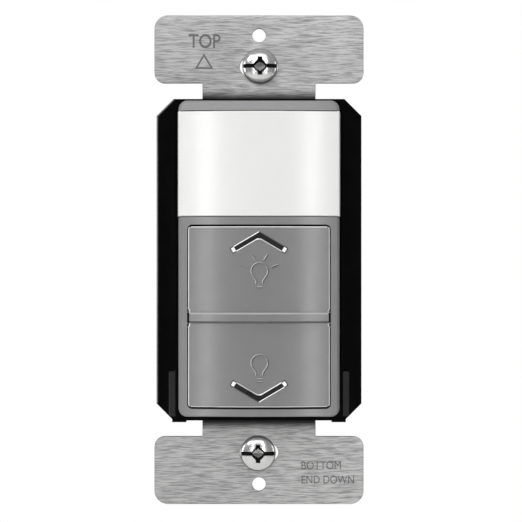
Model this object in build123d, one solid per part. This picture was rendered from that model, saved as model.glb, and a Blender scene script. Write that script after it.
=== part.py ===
from build123d import *
import math
import os

# Motion sensor dimmer switch, in millimetres.
# X runs to the right seen from the room, Y into the wall, Z up. The origin is the centre of
# the device on the back plane of its metal strap. A "depth" below counts from that plane
# towards the room, so it is minus Y, and what sits in the wall box has a negative depth.

# How far joined features run into each other, and cuts run past what they cut
JOIN = 0.1
CUT_PAST = 1.0

# Driving dimensions of the strap
STRAP_HEIGHT = 105.4
STRAP_WIDTH = 45.1
STRAP_THICKNESS = 1.2
EAR_HEIGHT = 14.6
EAR_CORNER_RADIUS = 2.9
EAR_NECK_CORNER_RADIUS = 2.2
NECK_SHOWN = 3.65
NECK_FROM_BOSS = 0.3
STRAP_PLATE_RADIUS = 1.5
STRAP_PLATE_CLEARANCE = 0.3
STRAP_PLATE_END_MARGIN = 6.0
PLATE_HOLE_FROM_END = 4.28
PLATE_HOLE_RADIUS = 1.47
BOX_SCREW_FROM_END = 11.05
BOX_SCREW_OFFSET = 0.2
BOX_SLOT_LENGTH = 8.3
BOX_SLOT_WIDTH = 4.1
STRAP_WINDOW_SIDE_MARGIN = 2.5
STRAP_WINDOW_END_MARGIN = 1.7
SWITCH_WINDOW_WIDTH = 12.4
SWITCH_WINDOW_HEIGHT = 7.0
WINDOW_CORNER = 1.5

# Driving dimensions of the black cover
COVER_INSET = 0.6
COVER_CORNER_CUT = 3.64
COVER_DEPTH = 3.8
COVER_FLOOR = 1.4
COVER_WALL = 1.5
COVER_EDGE_BREAK = 0.3
FOOT_WIDTH = 3.0
FOOT_DROP = 0.36
FOOT_FROM_EDGE = 4.85

# Driving dimensions of the crowned face
FACE_CENTRE_HEIGHT = 0.235
FACE_SIDE_MARGIN = 5.2
FACE_END_MARGIN = 1.0
FACE_CORNER_RADIUS = 1.9
FLANGE_SIDE_MARGIN = 0.45
FLANGE_END_MARGIN = 0.35
FLANGE_THICKNESS = 0.9
FLANGE_BEVEL = 0.4
CROWN_DEPTH = 8.6
CROWN_RADIUS = 90.0
EDGE_BEVEL = 0.2
PEG_RADIUS = 0.75
PEG_CLEARANCE = 0.03
PEG_LENGTH = 1.2
PEG_FROM_KEY_TOP = 4.26
PEG_FROM_KEY_BOTTOM = 11.42
PEG_FROM_FACE_TOP = 1.1

# Driving dimensions of the lens
FACE_TOP_STRIP = 2.175
LENS_HEIGHT = 22.29
LENS_SIDE_MARGIN = 0.35
LENS_FOOT = 0.15
LENS_WALL = 1.1
LENS_JOINT_GAP = 0.15
LENS_SILL_DEPTH = 5.2
LENS_SILL_GAP = 0.02
LENSLET_COLUMNS = 5
LENSLET_ROWS = 3
LENSLET_GAP = 0.2
LENSLET_RADIUS = 9.0
LENSLET_RISE = 0.4
SENSOR_WINDOW_SIDE_MARGIN = 3.6
SENSOR_WINDOW_END_MARGIN = 2.645
SENSOR_WINDOW_RADIUS = 1.5

# Driving dimensions of the two keys and the bar between them
FACE_RAIL = 1.715
KEY_FROM_LENS = 1.96
KEY_FROM_FACE_BOTTOM = 1.795
KEY_GAP = 0.2
KEY_CORNER_RADIUS = 0.9
KEY_BEND_START = 0.25
KEY_BEND = 0.7
KEY_WALL = 1.3
KEY_SKIRT = 1.0
KEY_SKIRT_DEPTH = 4.6
BAR_DROP = 0.24
BAR_HEIGHT = 2.26
BAR_FROM_KEY_SIDE = 0.255
BAR_RISE = 0.55
BAR_UPPER_BEVEL = 0.35
BAR_LOWER_BEVEL = 0.45
BAR_LIFT = 0.07
BAR_WEB = 0.9
BAR_WEB_FROM_SIDE = 1.535
BAR_WEB_GAP = 0.12
PIVOT_FROM_BAR = 1.6
PIVOT_DEPTH = 5.6
TRUNNION_RADIUS = 0.7
TRUNNION_LENGTH = 1.0
TRUNNION_END_GAP = 0.1
PIVOT_CLEARANCE = 0.06
UP_POST_FROM_KEY_TOP = 6.08
DOWN_POST_FROM_KEY_BOTTOM = 5.6
POST_RADIUS = 1.2

# Driving dimensions of the arrow marks
ARROW_ANGLE = 30.4
ARROW_HALF_SPAN = 6.2
ARROW_THICKNESS = 1.36
ARROW_RIM = 0.28
ARROW_PAD = 0.9
ARROW_INNER_RADIUS = 1.5
ARROW_TIP_FROM_KEY_END = 1.2
ARROW_FIT = 0.02
ARROW_RISE = 0.05
GUIDE_FLANGE = 0.4
GUIDE_FLANGE_THICKNESS = 0.6
GUIDE_STEM_RADIUS = 0.9
GUIDE_STEM_SPREAD = 4.4

# Driving dimensions of the rear housing
HOUSING_STEP = 0.25
HOUSING_DEPTH = 30.0
HOUSING_DRAFT = 1.8
HOUSING_WALL = 1.6
HOUSING_BACK_BEVEL = 0.8
NECK_CLEARANCE = 0.2
LATCH_HEIGHT = 9.6
LATCH_FROM_COVER_SIDE = 3.5
LATCH_FROM_COVER_BOTTOM = 5.75
LATCH_THICKNESS = 1.0
LATCH_HOOK = 0.35
LATCH_HOOK_BEVEL = 0.2
LATCH_PROUD = 0.5
LATCH_REACH = 9.0
LATCH_WEB = 3.0
LATCH_CLEARANCE = 0.1
CASE_SCREW_FROM_SIDE = 6.9
CASE_SCREW_FROM_END = 3.0
CASE_BOSS_RADIUS = 2.3
CASE_SCREW_RADIUS = 1.2
CASE_SCREW_HEAD_RADIUS = 2.1
CASE_SCREW_HEAD = 1.4
CASE_SCREW_SUNK = 0.3
CASE_SCREW_CLEARANCE = 0.1
CASE_SCREW_SKIN = 0.8
CASE_SCREW_TIP_GAP = 0.4
CASE_RECESS_DEPTH = 0.6
CASE_RECESS_WIDTH = 0.6
CASE_RECESS_LENGTH = 2.6

# Driving dimensions of the wire terminals
POCKET_HEIGHT = 10.0
POCKET_SPAN = 9.6
POCKET_FRONT = 5.8
POCKET_DEPTH = 6.3
POCKET_WALL = 1.2
TERMINAL_SPACING = 18.0
TERMINAL_MIDDLE = 4.0
TERMINAL_PLATE = 1.0
TERMINAL_PLATE_MARGIN = 0.8
TERMINAL_SCREW_RADIUS = 1.75
TERMINAL_SCREW_LENGTH = 3.0
TERMINAL_HEAD_RADIUS = 3.5
TERMINAL_HEAD = 1.9
TERMINAL_HEAD_GAP = 0.9
TERMINAL_CLEARANCE = 0.15
TERMINAL_SLOT_DEPTH = 0.8
TERMINAL_SLOT_WIDTH = 0.9
TERMINAL_CROSS_LENGTH = 3.8

# Driving dimensions of the wall-box screws
BOX_SCREW_RADIUS = 1.75
BOX_SCREW_NECK_RADIUS = 1.4
BOX_SCREW_NECK = 2.2
BOX_SCREW_HEAD_RADIUS = 3.8
BOX_SCREW_HEAD = 2.1
BOX_SCREW_LENGTH = 20.0
SCREW_POINT = 0.5
HEAD_RIM_SHARE = 0.3
DRIVER_SLOT_WIDTH = 0.88
DRIVER_SLOT_DEPTH = 0.9
CROSS_ARM_WIDTH = 0.95
CROSS_ARM_LENGTH = 4.6
CROSS_DEPTH = 1.5
CROSS_CONE_RADIUS = 1.56
CROSS_POINT_RADIUS = 0.4
RETAINER_RADIUS = 3.5
RETAINER_THICKNESS = 0.6
RETAINER_CLEARANCE = 0.08

# Driving dimensions of the boards and their parts
BOARD_THICKNESS = 1.2
CONTROL_BOARD_DEPTH = -3.0
CONTROL_BOARD_SIDE_MARGIN = 1.0
CONTROL_BOARD_END_MARGIN = 0.2
CONTROL_BOARD_FOOT = 1.4
CONTROL_BOARD_CORNER = 2.0
BOARD_HOLE_CLEARANCE = 0.3
LATCH_ROOM = 0.6
POWER_BOARD_STANDING = 4.2
POWER_BOARD_CORNER = 1.5
POWER_BOARD_SIDE_MARGIN = 5.2
POWER_BOARD_END_MARGIN = 6.2
POWER_POST_RADIUS = 1.8
POWER_POST_FROM_SIDE = 2.0
POWER_POST_FROM_END = 4.0
STANDOFF_FROM_BOARD_SIDE = 1.8
STANDOFF_FROM_BOARD_TOP = 3.0
STANDOFF_FROM_TRIAC = 4.3
STANDOFF_RADIUS = 1.5
STANDOFF_CLEARANCE = 0.3
SENSOR_CAN_RADIUS = 4.2
SENSOR_CAN_FRONT = 1.2
SENSOR_CAN_BEVEL = 0.4
SENSOR_FLANGE_RADIUS = 4.6
SENSOR_FLANGE = 0.6
SENSOR_PANE_WIDTH = 4.0
SENSOR_PANE_HEIGHT = 3.0
SENSOR_PANE = 0.1
DAYLIGHT_SENSOR_RADIUS = 1.5
DAYLIGHT_SENSOR_FRONT = 0.4
DAYLIGHT_SENSOR_FROM_WINDOW = 2.5
DAYLIGHT_SENSOR_NOSE = 0.8
SWITCH_BODY = 6.0
SWITCH_BODY_FRONT = 0.6
SWITCH_CORNER = 0.4
PLUNGER_RADIUS = 1.6
PLUNGER_CLEARANCE = 0.05
PLUNGER_REST_GAP = 0.08
PLUNGER_TAIL = 2.6
PLUNGER_FREE_TRAVEL = 0.6
COVER_HOLE_CLEARANCE = 0.4
LED_WIDTH = 2.0
LED_HEIGHT = 1.4
LED_EYE = 0.3
LED_EYE_RADIUS = 0.7
PIN_SPACING = 2.54
PIN_SIZE = 0.64
PIN_COUNT = 6
PIN_ROOTED = 0.7
HEADER_HEIGHT = 2.5
HEADER_LENGTH = 8.5
HEADER_FROM_CHOKE = 0.9
TRIAC_FROM_PLATE_SIDE = 7.9
TRIAC_FROM_PLATE_BOTTOM = 8.2
TRIAC_WIDTH = 9.8
TRIAC_TAB_HEIGHT = 15.4
TRIAC_TAB = 1.3
TRIAC_TAB_HOLE_RADIUS = 1.8
TRIAC_TAB_HOLE_FROM_TOP = 3.0
TRIAC_ROOM = 1.0
TRIAC_BODY_HEIGHT = 9.0
TRIAC_BODY = 4.3
TRIAC_LEG_WIDTH = 0.8
TRIAC_LEG = 0.5
TRIAC_LEG_DROP = 2.0
TRIAC_PAD = 0.25
TRIAC_PAD_MARGIN = 0.4
CHOKE_X = -4.0
CHOKE_FROM_BOARD_TOP = 9.0
CHOKE_OUTER_RADIUS = 7.6
CHOKE_INNER_RADIUS = 3.8
CHOKE_THICKNESS = 6.0
CHOKE_STANDING = 0.9
CHOKE_TURNS = 14
CHOKE_WIRE = 0.9
CHOKE_WIRE_ROUND = 0.7
CHOKE_WIRE_FIT = 0.02
CHOKE_BAND_SAG = 0.11
FILM_CAPACITOR_FROM_SIDE = 7.0
FILM_CAPACITOR_FROM_TOP = 8.0
FILM_CAPACITOR_WIDTH = 6.0
FILM_CAPACITOR_HEIGHT = 13.0
FILM_CAPACITOR_LENGTH = 11.0
CAPACITOR_X = -0.5
SMALL_PARTS_FROM_HEADER = 8.5
CAPACITOR_RADIUS = 4.0
CAPACITOR_LENGTH = 12.0
PART_BEVEL = 0.4
VARISTOR_X = -8.5
VARISTOR_RADIUS = 5.0
VARISTOR_THICKNESS = 4.0
VARISTOR_STANDING = 1.2
VARISTOR_LEG = 0.8
VARISTOR_LEG_SPREAD = 2.5
FUSE_FROM_SIDE = 7.0
FUSE_RADIUS = 3.2
FUSE_LENGTH = 8.0
COIL_X = 5.0
COIL_Z = -16.0
COIL_WIDTH = 13.0
COIL_HEIGHT = 12.0
COIL_BOBBIN_WIDTH = 10.0
COIL_BOBBIN_HEIGHT = 11.0
COIL_CORE = 1.8
COIL_LENGTH = 10.5
COIL_BOBBIN_CORNER = 1.0

# Places and sizes worked out from the driving dimensions
EAR_BOTTOM = STRAP_HEIGHT / 2 - EAR_HEIGHT
PLATE_HOLE_SPACING = STRAP_HEIGHT - 2 * PLATE_HOLE_FROM_END
BOX_SCREW_SPACING = STRAP_HEIGHT - 2 * BOX_SCREW_FROM_END
COVER_WIDTH = STRAP_WIDTH - 2 * COVER_INSET
COVER_HEIGHT = 2 * (EAR_BOTTOM - NECK_SHOWN)
COVER_BACK = STRAP_THICKNESS
COVER_INSIDE = COVER_DEPTH - COVER_FLOOR
HOUSING_WIDTH = COVER_WIDTH - 2 * HOUSING_STEP
HOUSING_HEIGHT = COVER_HEIGHT - 2 * HOUSING_STEP
CASE_SCREW_SIDE = HOUSING_WIDTH / 2 - CASE_SCREW_FROM_SIDE
CASE_SCREW_HEIGHT = HOUSING_HEIGHT / 2 - CASE_SCREW_FROM_END
NECK_WIDTH = 2 * (CASE_SCREW_SIDE - CASE_BOSS_RADIUS - NECK_FROM_BOSS)
STRAP_PLATE_WIDTH = HOUSING_WIDTH - 2 * HOUSING_WALL - 2 * STRAP_PLATE_CLEARANCE
STRAP_PLATE_HEIGHT = HOUSING_HEIGHT - 2 * STRAP_PLATE_END_MARGIN
LATCH_CENTRE_SIDE = COVER_WIDTH / 2 - LATCH_FROM_COVER_SIDE
LATCH_CENTRE_HEIGHT = LATCH_FROM_COVER_BOTTOM - COVER_HEIGHT / 2
POCKET_FLOOR_SIDE = HOUSING_WIDTH / 2 - POCKET_DEPTH
FACE_WIDTH = COVER_WIDTH - 2 * FACE_SIDE_MARGIN
FACE_HEIGHT = COVER_HEIGHT - 2 * FACE_END_MARGIN
FACE_TOP = FACE_CENTRE_HEIGHT + FACE_HEIGHT / 2
FACE_BOTTOM = FACE_CENTRE_HEIGHT - FACE_HEIGHT / 2
FLANGE_WIDTH = FACE_WIDTH + 2 * FLANGE_SIDE_MARGIN
FLANGE_HEIGHT = FACE_HEIGHT + 2 * FLANGE_END_MARGIN
CROWN_AXIS = CROWN_RADIUS - CROWN_DEPTH
CROWN_DROP = CROWN_RADIUS - math.sqrt(CROWN_RADIUS**2 - FLANGE_WIDTH**2 / 4)
LENS_TOP = FACE_TOP - FACE_TOP_STRIP
LENS_BOTTOM = LENS_TOP - LENS_HEIGHT
LENS_CENTRE = (LENS_TOP + LENS_BOTTOM) / 2
LENS_WIDTH = FACE_WIDTH + 2 * LENS_SIDE_MARGIN
LENS_FOOT_WIDTH = FLANGE_WIDTH + 2 * LENS_FOOT
SENSOR_WINDOW_WIDTH = LENS_WIDTH - 2 * SENSOR_WINDOW_SIDE_MARGIN
SENSOR_WINDOW_HEIGHT = LENS_HEIGHT - 2 * SENSOR_WINDOW_END_MARGIN
STRAP_WINDOW_WIDTH = SENSOR_WINDOW_WIDTH - 2 * STRAP_WINDOW_SIDE_MARGIN
STRAP_WINDOW_HEIGHT = SENSOR_WINDOW_HEIGHT - 2 * STRAP_WINDOW_END_MARGIN
DAYLIGHT_SENSOR_SIDE = STRAP_WINDOW_WIDTH / 2 - DAYLIGHT_SENSOR_FROM_WINDOW
KEY_WIDTH = FACE_WIDTH - 2 * FACE_RAIL
KEY_TOP = LENS_BOTTOM - KEY_FROM_LENS
KEY_BOTTOM = FACE_BOTTOM + KEY_FROM_FACE_BOTTOM
WINDOW_HALF = KEY_WIDTH / 2 + KEY_GAP
BAR_CENTRE = (KEY_TOP + KEY_BOTTOM) / 2 - BAR_DROP
BAR_TOP = BAR_CENTRE + BAR_HEIGHT / 2
BAR_BOTTOM = BAR_CENTRE - BAR_HEIGHT / 2
BAR_WIDTH = KEY_WIDTH - 2 * BAR_FROM_KEY_SIDE
BAR_WEB_WIDTH = KEY_WIDTH - 2 * BAR_WEB_FROM_SIDE
POST_HEIGHTS = {"up": KEY_TOP - UP_POST_FROM_KEY_TOP, "down": KEY_BOTTOM + DOWN_POST_FROM_KEY_BOTTOM}
CONTROL_BOARD_WIDTH = STRAP_PLATE_WIDTH - 2 * CONTROL_BOARD_SIDE_MARGIN
CONTROL_BOARD_HEIGHT = STRAP_PLATE_HEIGHT - 2 * CONTROL_BOARD_END_MARGIN
POWER_BOARD_WIDTH = HOUSING_WIDTH - 2 * POWER_BOARD_SIDE_MARGIN
POWER_BOARD_HEIGHT = HOUSING_HEIGHT - 2 * POWER_BOARD_END_MARGIN
STANDOFF_SIDE = CONTROL_BOARD_WIDTH / 2 - STANDOFF_FROM_BOARD_SIDE
STANDOFF_TOP = CONTROL_BOARD_HEIGHT / 2 - STANDOFF_FROM_BOARD_TOP
TRIAC_SIDE = TRIAC_FROM_PLATE_SIDE - STRAP_PLATE_WIDTH / 2
TRIAC_HEIGHT = TRIAC_FROM_PLATE_BOTTOM - STRAP_PLATE_HEIGHT / 2
STANDOFF_BOTTOM = TRIAC_HEIGHT + TRIAC_TAB_HEIGHT / 2 + STANDOFF_FROM_TRIAC
POWER_BOARD_DEPTH = HOUSING_WALL + POWER_BOARD_STANDING + BOARD_THICKNESS - HOUSING_DEPTH
CHOKE_Z = POWER_BOARD_HEIGHT / 2 - CHOKE_FROM_BOARD_TOP
HEADER_Z = CHOKE_Z - CHOKE_OUTER_RADIUS - HEADER_FROM_CHOKE
SMALL_PARTS_Z = HEADER_Z - SMALL_PARTS_FROM_HEADER
BOX_SCREW_PLACES = {
    "top": (BOX_SCREW_OFFSET, BOX_SCREW_SPACING / 2),
    "bottom": (-BOX_SCREW_OFFSET, -BOX_SCREW_SPACING / 2),
}
CASE_SCREW_HEIGHTS = (-CASE_SCREW_HEIGHT, CASE_SCREW_HEIGHT)
CASE_SCREW_PLACES = [(side * CASE_SCREW_SIDE, z) for side in (-1, 1) for z in CASE_SCREW_HEIGHTS]
STANDOFF_PLACES = [(side * STANDOFF_SIDE, z) for side in (-1, 1) for z in (STANDOFF_TOP, STANDOFF_BOTTOM)]
PEG_SIDE = (WINDOW_HALF + FLANGE_WIDTH / 2) / 2
PEG_HEIGHTS = (KEY_TOP - PEG_FROM_KEY_TOP, KEY_BOTTOM + PEG_FROM_KEY_BOTTOM)
PEG_PLACES = [(side * PEG_SIDE, height) for side in (-1, 1) for height in PEG_HEIGHTS]
PEG_PLACES += [(side * FACE_WIDTH / 4, FACE_TOP - PEG_FROM_FACE_TOP) for side in (-1, 1)]

os.makedirs("parts", exist_ok=True)


def save(shape, node):
    """Write one piece, named after its node."""
    export_step(shape, f"parts/{node}.step")


def slab(outline, depth, thickness):
    """Solid of an outline seen from the room, from one depth to a nearer one."""
    return extrude(Plane.XZ.offset(depth) * outline, thickness, dir=(0, -1, 0))


def block(width, height, x, z, depth, thickness, corner=0.0):
    """Rectangular slab with rounded corners, centred at x and z."""
    outline = RectangleRounded(width, height, corner) if corner else Rectangle(width, height)
    return slab(Pos(x, z) * outline, depth, thickness)


def peg(radius, x, z, depth, length):
    """Round pin that points at the room."""
    return slab(Pos(x, z) * Circle(radius), depth, length)


def crown(extra=0.0):
    """Big upright cylinder whose front is the crowned face, made prouder by extra."""
    return Pos(0, CROWN_AXIS, 0) * Cylinder(CROWN_RADIUS + extra, STRAP_HEIGHT)


def front_edges(shape):
    """Edges where a crowned piece turns from its front into its sides."""
    return [edge for edge in shape.edges() if edge.bounding_box().max.Y < -CROWN_DEPTH + CROWN_DROP]


# Strap
# One stamped sheet: two ears, two necks and a plate with windows for what stands on the
# control board. The ears carry a tapped hole for the wall plate and an oblong screw slot.
def ear(end):
    outline = Rectangle(STRAP_WIDTH, EAR_HEIGHT)
    centre = end * (STRAP_HEIGHT - EAR_HEIGHT) / 2
    outline = Pos(0, centre) * outline
    outer = [v for v in outline.vertices() if abs(v.Y) > abs(centre)]
    outline = fillet(outer, EAR_CORNER_RADIUS)
    inner = [v for v in outline.vertices() if abs(v.Y) < EAR_BOTTOM + 0.01]
    return fillet(inner, EAR_NECK_CORNER_RADIUS)


def make_strap():
    neck = Rectangle(NECK_WIDTH, STRAP_HEIGHT - EAR_HEIGHT)
    plate = RectangleRounded(STRAP_PLATE_WIDTH, STRAP_PLATE_HEIGHT, STRAP_PLATE_RADIUS)
    outline = ear(1) + ear(-1) + neck + plate
    slot = SlotOverall(BOX_SLOT_LENGTH, BOX_SLOT_WIDTH)
    for end in (-1, 1):
        outline -= Pos(0, end * PLATE_HOLE_SPACING / 2) * Circle(PLATE_HOLE_RADIUS)
        outline -= Pos(0, end * BOX_SCREW_SPACING / 2) * slot
    # window for the sensor, windows for the two switches and their light sources
    outline -= Pos(0, LENS_CENTRE) * RectangleRounded(STRAP_WINDOW_WIDTH, STRAP_WINDOW_HEIGHT, WINDOW_CORNER)
    for height in POST_HEIGHTS.values():
        outline -= Pos(0, height) * RectangleRounded(SWITCH_WINDOW_WIDTH, SWITCH_WINDOW_HEIGHT, WINDOW_CORNER)
    for x, z in STANDOFF_PLACES:
        outline -= Pos(x, z) * Circle(STANDOFF_RADIUS + STANDOFF_CLEARANCE)
    # side notches where the latch arms of the housing pass
    notch_side = LATCH_CENTRE_SIDE - LATCH_THICKNESS / 2 - LATCH_CLEARANCE
    notch_width = STRAP_PLATE_WIDTH / 2 - notch_side
    notch = Rectangle(2 * notch_width, LATCH_HEIGHT + 2 * LATCH_CLEARANCE)
    for side in (-1, 1):
        outline -= Pos(side * STRAP_PLATE_WIDTH / 2, LATCH_CENTRE_HEIGHT) * notch
    return slab(outline, 0, STRAP_THICKNESS)


# Arrow marks
# Each is a V of two straight arms, whose inner corner is round. The outline is drawn for the
# mark that points up, and turned over for the one that points down.
def arrow_tip(name):
    """Height of the outer tip of a mark."""
    if name == "up":
        return KEY_TOP - ARROW_TIP_FROM_KEY_END
    return KEY_BOTTOM + ARROW_TIP_FROM_KEY_END


def arrow_outline(name, inset=0.0, end_cut=0.0):
    """The V, with its edges drawn in by inset and its arm ends cut shorter by end_cut."""
    slope = math.tan(math.radians(ARROW_ANGLE))
    across = 1 / math.cos(math.radians(ARROW_ANGLE))
    thickness = ARROW_THICKNESS * across
    reach = ARROW_HALF_SPAN + ARROW_THICKNESS
    top = -inset * across
    bottom = -thickness + inset * across
    arms = Polygon(
        (0, top),
        (-reach, top - reach * slope),
        (-reach, bottom - reach * slope),
        (0, bottom),
        (reach, bottom - reach * slope),
        (reach, top - reach * slope),
        align=None,
    )
    inner = [v for v in arms.vertices() if abs(v.X) < 0.01 and abs(v.Y - bottom) < 0.01]
    arms = fillet(inner, ARROW_INNER_RADIUS + inset)
    # the arm ends are square to the arms, through the outer corner at the half span
    for side in (-1, 1):
        end = Pos(side * ARROW_HALF_SPAN, -ARROW_HALF_SPAN * slope) * Rot(0, 0, -side * ARROW_ANGLE)
        cutter = Pos(side * (ARROW_THICKNESS * 2 - inset - end_cut), 0) * Rectangle(
            ARROW_THICKNESS * 4, ARROW_THICKNESS * 6
        )
        arms -= end * cutter
    if name == "down":
        arms = mirror(arms, Plane.XZ)
    return Pos(0, arrow_tip(name)) * arms


# Keys
# Each is a crowned shell with skirts, hinged beside the bar on two moulded trunnions. Its
# inner corners draw in to the width of the bar in a small S.
def key_outline(name, inset=0.0):
    sign = 1 if name == "up" else -1
    far = (KEY_TOP if name == "up" else KEY_BOTTOM) - sign * inset
    near = BAR_CENTRE + sign * (BAR_WEB / 2 + BAR_WEB_GAP + inset)
    step = BAR_CENTRE + sign * (BAR_HEIGHT / 2 + KEY_BEND_START)
    bend_end = step + sign * KEY_BEND
    wide = KEY_WIDTH / 2 - inset
    narrow = BAR_WIDTH / 2 - inset
    right = Polyline((0, near), (narrow, near), (narrow, step))
    bend = Spline((narrow, step), (wide, bend_end), tangents=((0, sign), (0, sign)))
    top = Polyline((wide, bend_end), (wide, far), (0, far))
    half = make_face(right + bend + top + Line((0, far), (0, near)))
    outline = half + mirror(half, Plane.YZ)
    corners = [v for v in outline.vertices() if abs(v.Y - far) < 0.01 and abs(v.X) > 1]
    return fillet(corners, max(KEY_CORNER_RADIUS - inset, EDGE_BEVEL))


def make_key(name):
    sign = 1 if name == "up" else -1
    outline = key_outline(name)
    body = slab(outline, KEY_SKIRT_DEPTH, CROWN_DEPTH) & crown()
    clear_of_bar = [e for e in front_edges(body) if abs(e.center().Z - BAR_CENTRE) > BAR_HEIGHT]
    body = chamfer(clear_of_bar, EDGE_BEVEL)
    hollow = slab(key_outline(name, KEY_SKIRT), KEY_SKIRT_DEPTH, CROWN_DEPTH) & crown(-KEY_WALL)
    body -= hollow
    # post over the switch, and trunnions at the sides
    post_height = POST_HEIGHTS[name]
    body += peg(POST_RADIUS, 0, post_height, KEY_SKIRT_DEPTH, CROWN_DEPTH - KEY_WALL - KEY_SKIRT_DEPTH + JOIN)
    pivot = BAR_CENTRE + sign * PIVOT_FROM_BAR
    inner = BAR_WIDTH / 2 - KEY_SKIRT
    outer = KEY_WIDTH / 2 + TRUNNION_LENGTH
    for side in (-1, 1):
        middle = side * (inner + outer) / 2
        trunnion = Rot(0, 90, 0) * Cylinder(TRUNNION_RADIUS, outer - inner)
        body += Pos(middle, -PIVOT_DEPTH, pivot) * trunnion
    # opening for the arrow mark
    body -= slab(arrow_outline(name), KEY_SKIRT_DEPTH, CROWN_DEPTH)
    return body


def make_arrow_trim(name):
    """Rim of a mark with the light blocks at its four arm ends, as one moulding."""
    back = CROWN_DEPTH - KEY_WALL
    outer = slab(arrow_outline(name, ARROW_FIT), back, 2 * KEY_WALL) & crown(ARROW_RISE)
    inner = slab(arrow_outline(name, ARROW_RIM, ARROW_PAD - ARROW_RIM), back, 2 * KEY_WALL)
    return outer - inner


def make_arrow_window(name):
    """Dark light guide: its face fills the rim, its flange backs the key and its stems reach down."""
    back = CROWN_DEPTH - KEY_WALL
    flange_front = back - ARROW_FIT
    face_outline = arrow_outline(name, ARROW_RIM + ARROW_FIT, ARROW_PAD - ARROW_RIM)
    flange_back = flange_front - GUIDE_FLANGE_THICKNESS
    flange = slab(arrow_outline(name, -GUIDE_FLANGE), flange_back, GUIDE_FLANGE_THICKNESS)
    face = slab(face_outline, flange_back, 2 * KEY_WALL)
    guide = face & crown(-ARROW_RISE)
    room = slab(key_outline(name, KEY_SKIRT + ARROW_FIT), 0, CROWN_DEPTH) & crown(-KEY_WALL - ARROW_FIT)
    guide += flange & room
    slope = math.tan(math.radians(ARROW_ANGLE))
    direction = -1 if name == "up" else 1
    drop = ARROW_THICKNESS / 2 + GUIDE_STEM_SPREAD * slope
    for side in (-1, 1):
        stem_height = arrow_tip(name) + direction * drop
        stem_length = flange_front - KEY_SKIRT_DEPTH - JOIN
        guide += peg(GUIDE_STEM_RADIUS, side * GUIDE_STEM_SPREAD, stem_height, KEY_SKIRT_DEPTH, stem_length)
    return guide


def stem_places():
    slope = math.tan(math.radians(ARROW_ANGLE))
    places = []
    for name, direction in (("up", -1), ("down", 1)):
        drop = ARROW_THICKNESS / 2 + GUIDE_STEM_SPREAD * slope
        for side in (-1, 1):
            places.append((side * GUIDE_STEM_SPREAD, arrow_tip(name) + direction * drop))
    return places


# Bar between the keys
# A crowned head laps over the inner ends of both keys. Its web stands between them on the
# cover.
def make_bar():
    head = block(BAR_WIDTH, BAR_HEIGHT, 0, BAR_CENTRE, PIVOT_DEPTH, CROWN_DEPTH) & crown(BAR_RISE)
    upper = [e for e in front_edges(head) if e.center().Z > BAR_TOP - 0.01]
    head = chamfer(upper, BAR_UPPER_BEVEL)
    lower = [e for e in front_edges(head) if e.center().Z < BAR_BOTTOM + 0.01]
    head = chamfer(lower, BAR_LOWER_BEVEL)
    head -= crown(BAR_LIFT)
    web = block(BAR_WEB_WIDTH, BAR_WEB, 0, BAR_CENTRE, COVER_DEPTH, CROWN_DEPTH) & crown(BAR_LIFT + JOIN)
    return head + web


# Face frame
# A crowned frame on a low flange, with a window for the keys, a sill for the lens and blind
# sockets for the trunnions. Pegs at its back fix it in the cover.
def sensor_window():
    """Opening in front of the sensor, through the frame and the cover."""
    opening = RectangleRounded(SENSOR_WINDOW_WIDTH, SENSOR_WINDOW_HEIGHT, SENSOR_WINDOW_RADIUS)
    return slab(Pos(0, LENS_CENTRE) * opening, 0, 2 * CROWN_DEPTH)


def make_face_frame():
    flange_outline = RectangleRounded(FLANGE_WIDTH, FLANGE_HEIGHT, FACE_CORNER_RADIUS)
    flange = slab(Pos(0, FACE_CENTRE_HEIGHT) * flange_outline, COVER_DEPTH, FLANGE_THICKNESS)
    flange_top = [e for e in flange.edges() if e.center().Y < -COVER_DEPTH - FLANGE_THICKNESS + 0.01]
    flange = chamfer(flange_top, FLANGE_BEVEL)
    body_outline = RectangleRounded(FACE_WIDTH, FACE_HEIGHT, FACE_CORNER_RADIUS)
    body = slab(Pos(0, FACE_CENTRE_HEIGHT) * body_outline, COVER_DEPTH, CROWN_DEPTH) & crown()
    body = chamfer(front_edges(body), EDGE_BEVEL)
    frame = flange + body
    # step that takes the lens, over the full width
    lens_height = LENS_TOP - LENS_BOTTOM + 2 * LENS_JOINT_GAP
    frame -= block(FLANGE_WIDTH + CUT_PAST, lens_height, 0, LENS_CENTRE, LENS_SILL_DEPTH, CROWN_DEPTH)
    rebate = block(LENS_FOOT_WIDTH + CUT_PAST, lens_height, 0, LENS_CENTRE, COVER_DEPTH, CROWN_DEPTH)
    inner_width = LENS_WIDTH - 2 * LENS_WALL - 2 * LENS_JOINT_GAP
    rebate -= block(inner_width, lens_height + CUT_PAST, 0, LENS_CENTRE, 0, 3 * CROWN_DEPTH)
    frame -= rebate
    frame -= sensor_window()
    # window for the keys
    window_top = KEY_TOP + KEY_GAP
    window_bottom = KEY_BOTTOM - KEY_GAP
    window_middle = (window_top + window_bottom) / 2
    window = RectangleRounded(2 * WINDOW_HALF, window_top - window_bottom, KEY_CORNER_RADIUS + KEY_GAP)
    frame -= slab(Pos(0, window_middle) * window, 0, 2 * CROWN_DEPTH)
    for sign in (-1, 1):
        socket_length = 2 * (KEY_WIDTH / 2 + TRUNNION_LENGTH + TRUNNION_END_GAP)
        socket = Cylinder(TRUNNION_RADIUS + PIVOT_CLEARANCE, socket_length)
        frame -= Pos(0, -PIVOT_DEPTH, BAR_CENTRE + sign * PIVOT_FROM_BAR) * Rot(0, 90, 0) * socket
    for x, z in PEG_PLACES:
        frame += peg(PEG_RADIUS, x, z, COVER_DEPTH - PEG_LENGTH, PEG_LENGTH + JOIN)
    return frame


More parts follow.
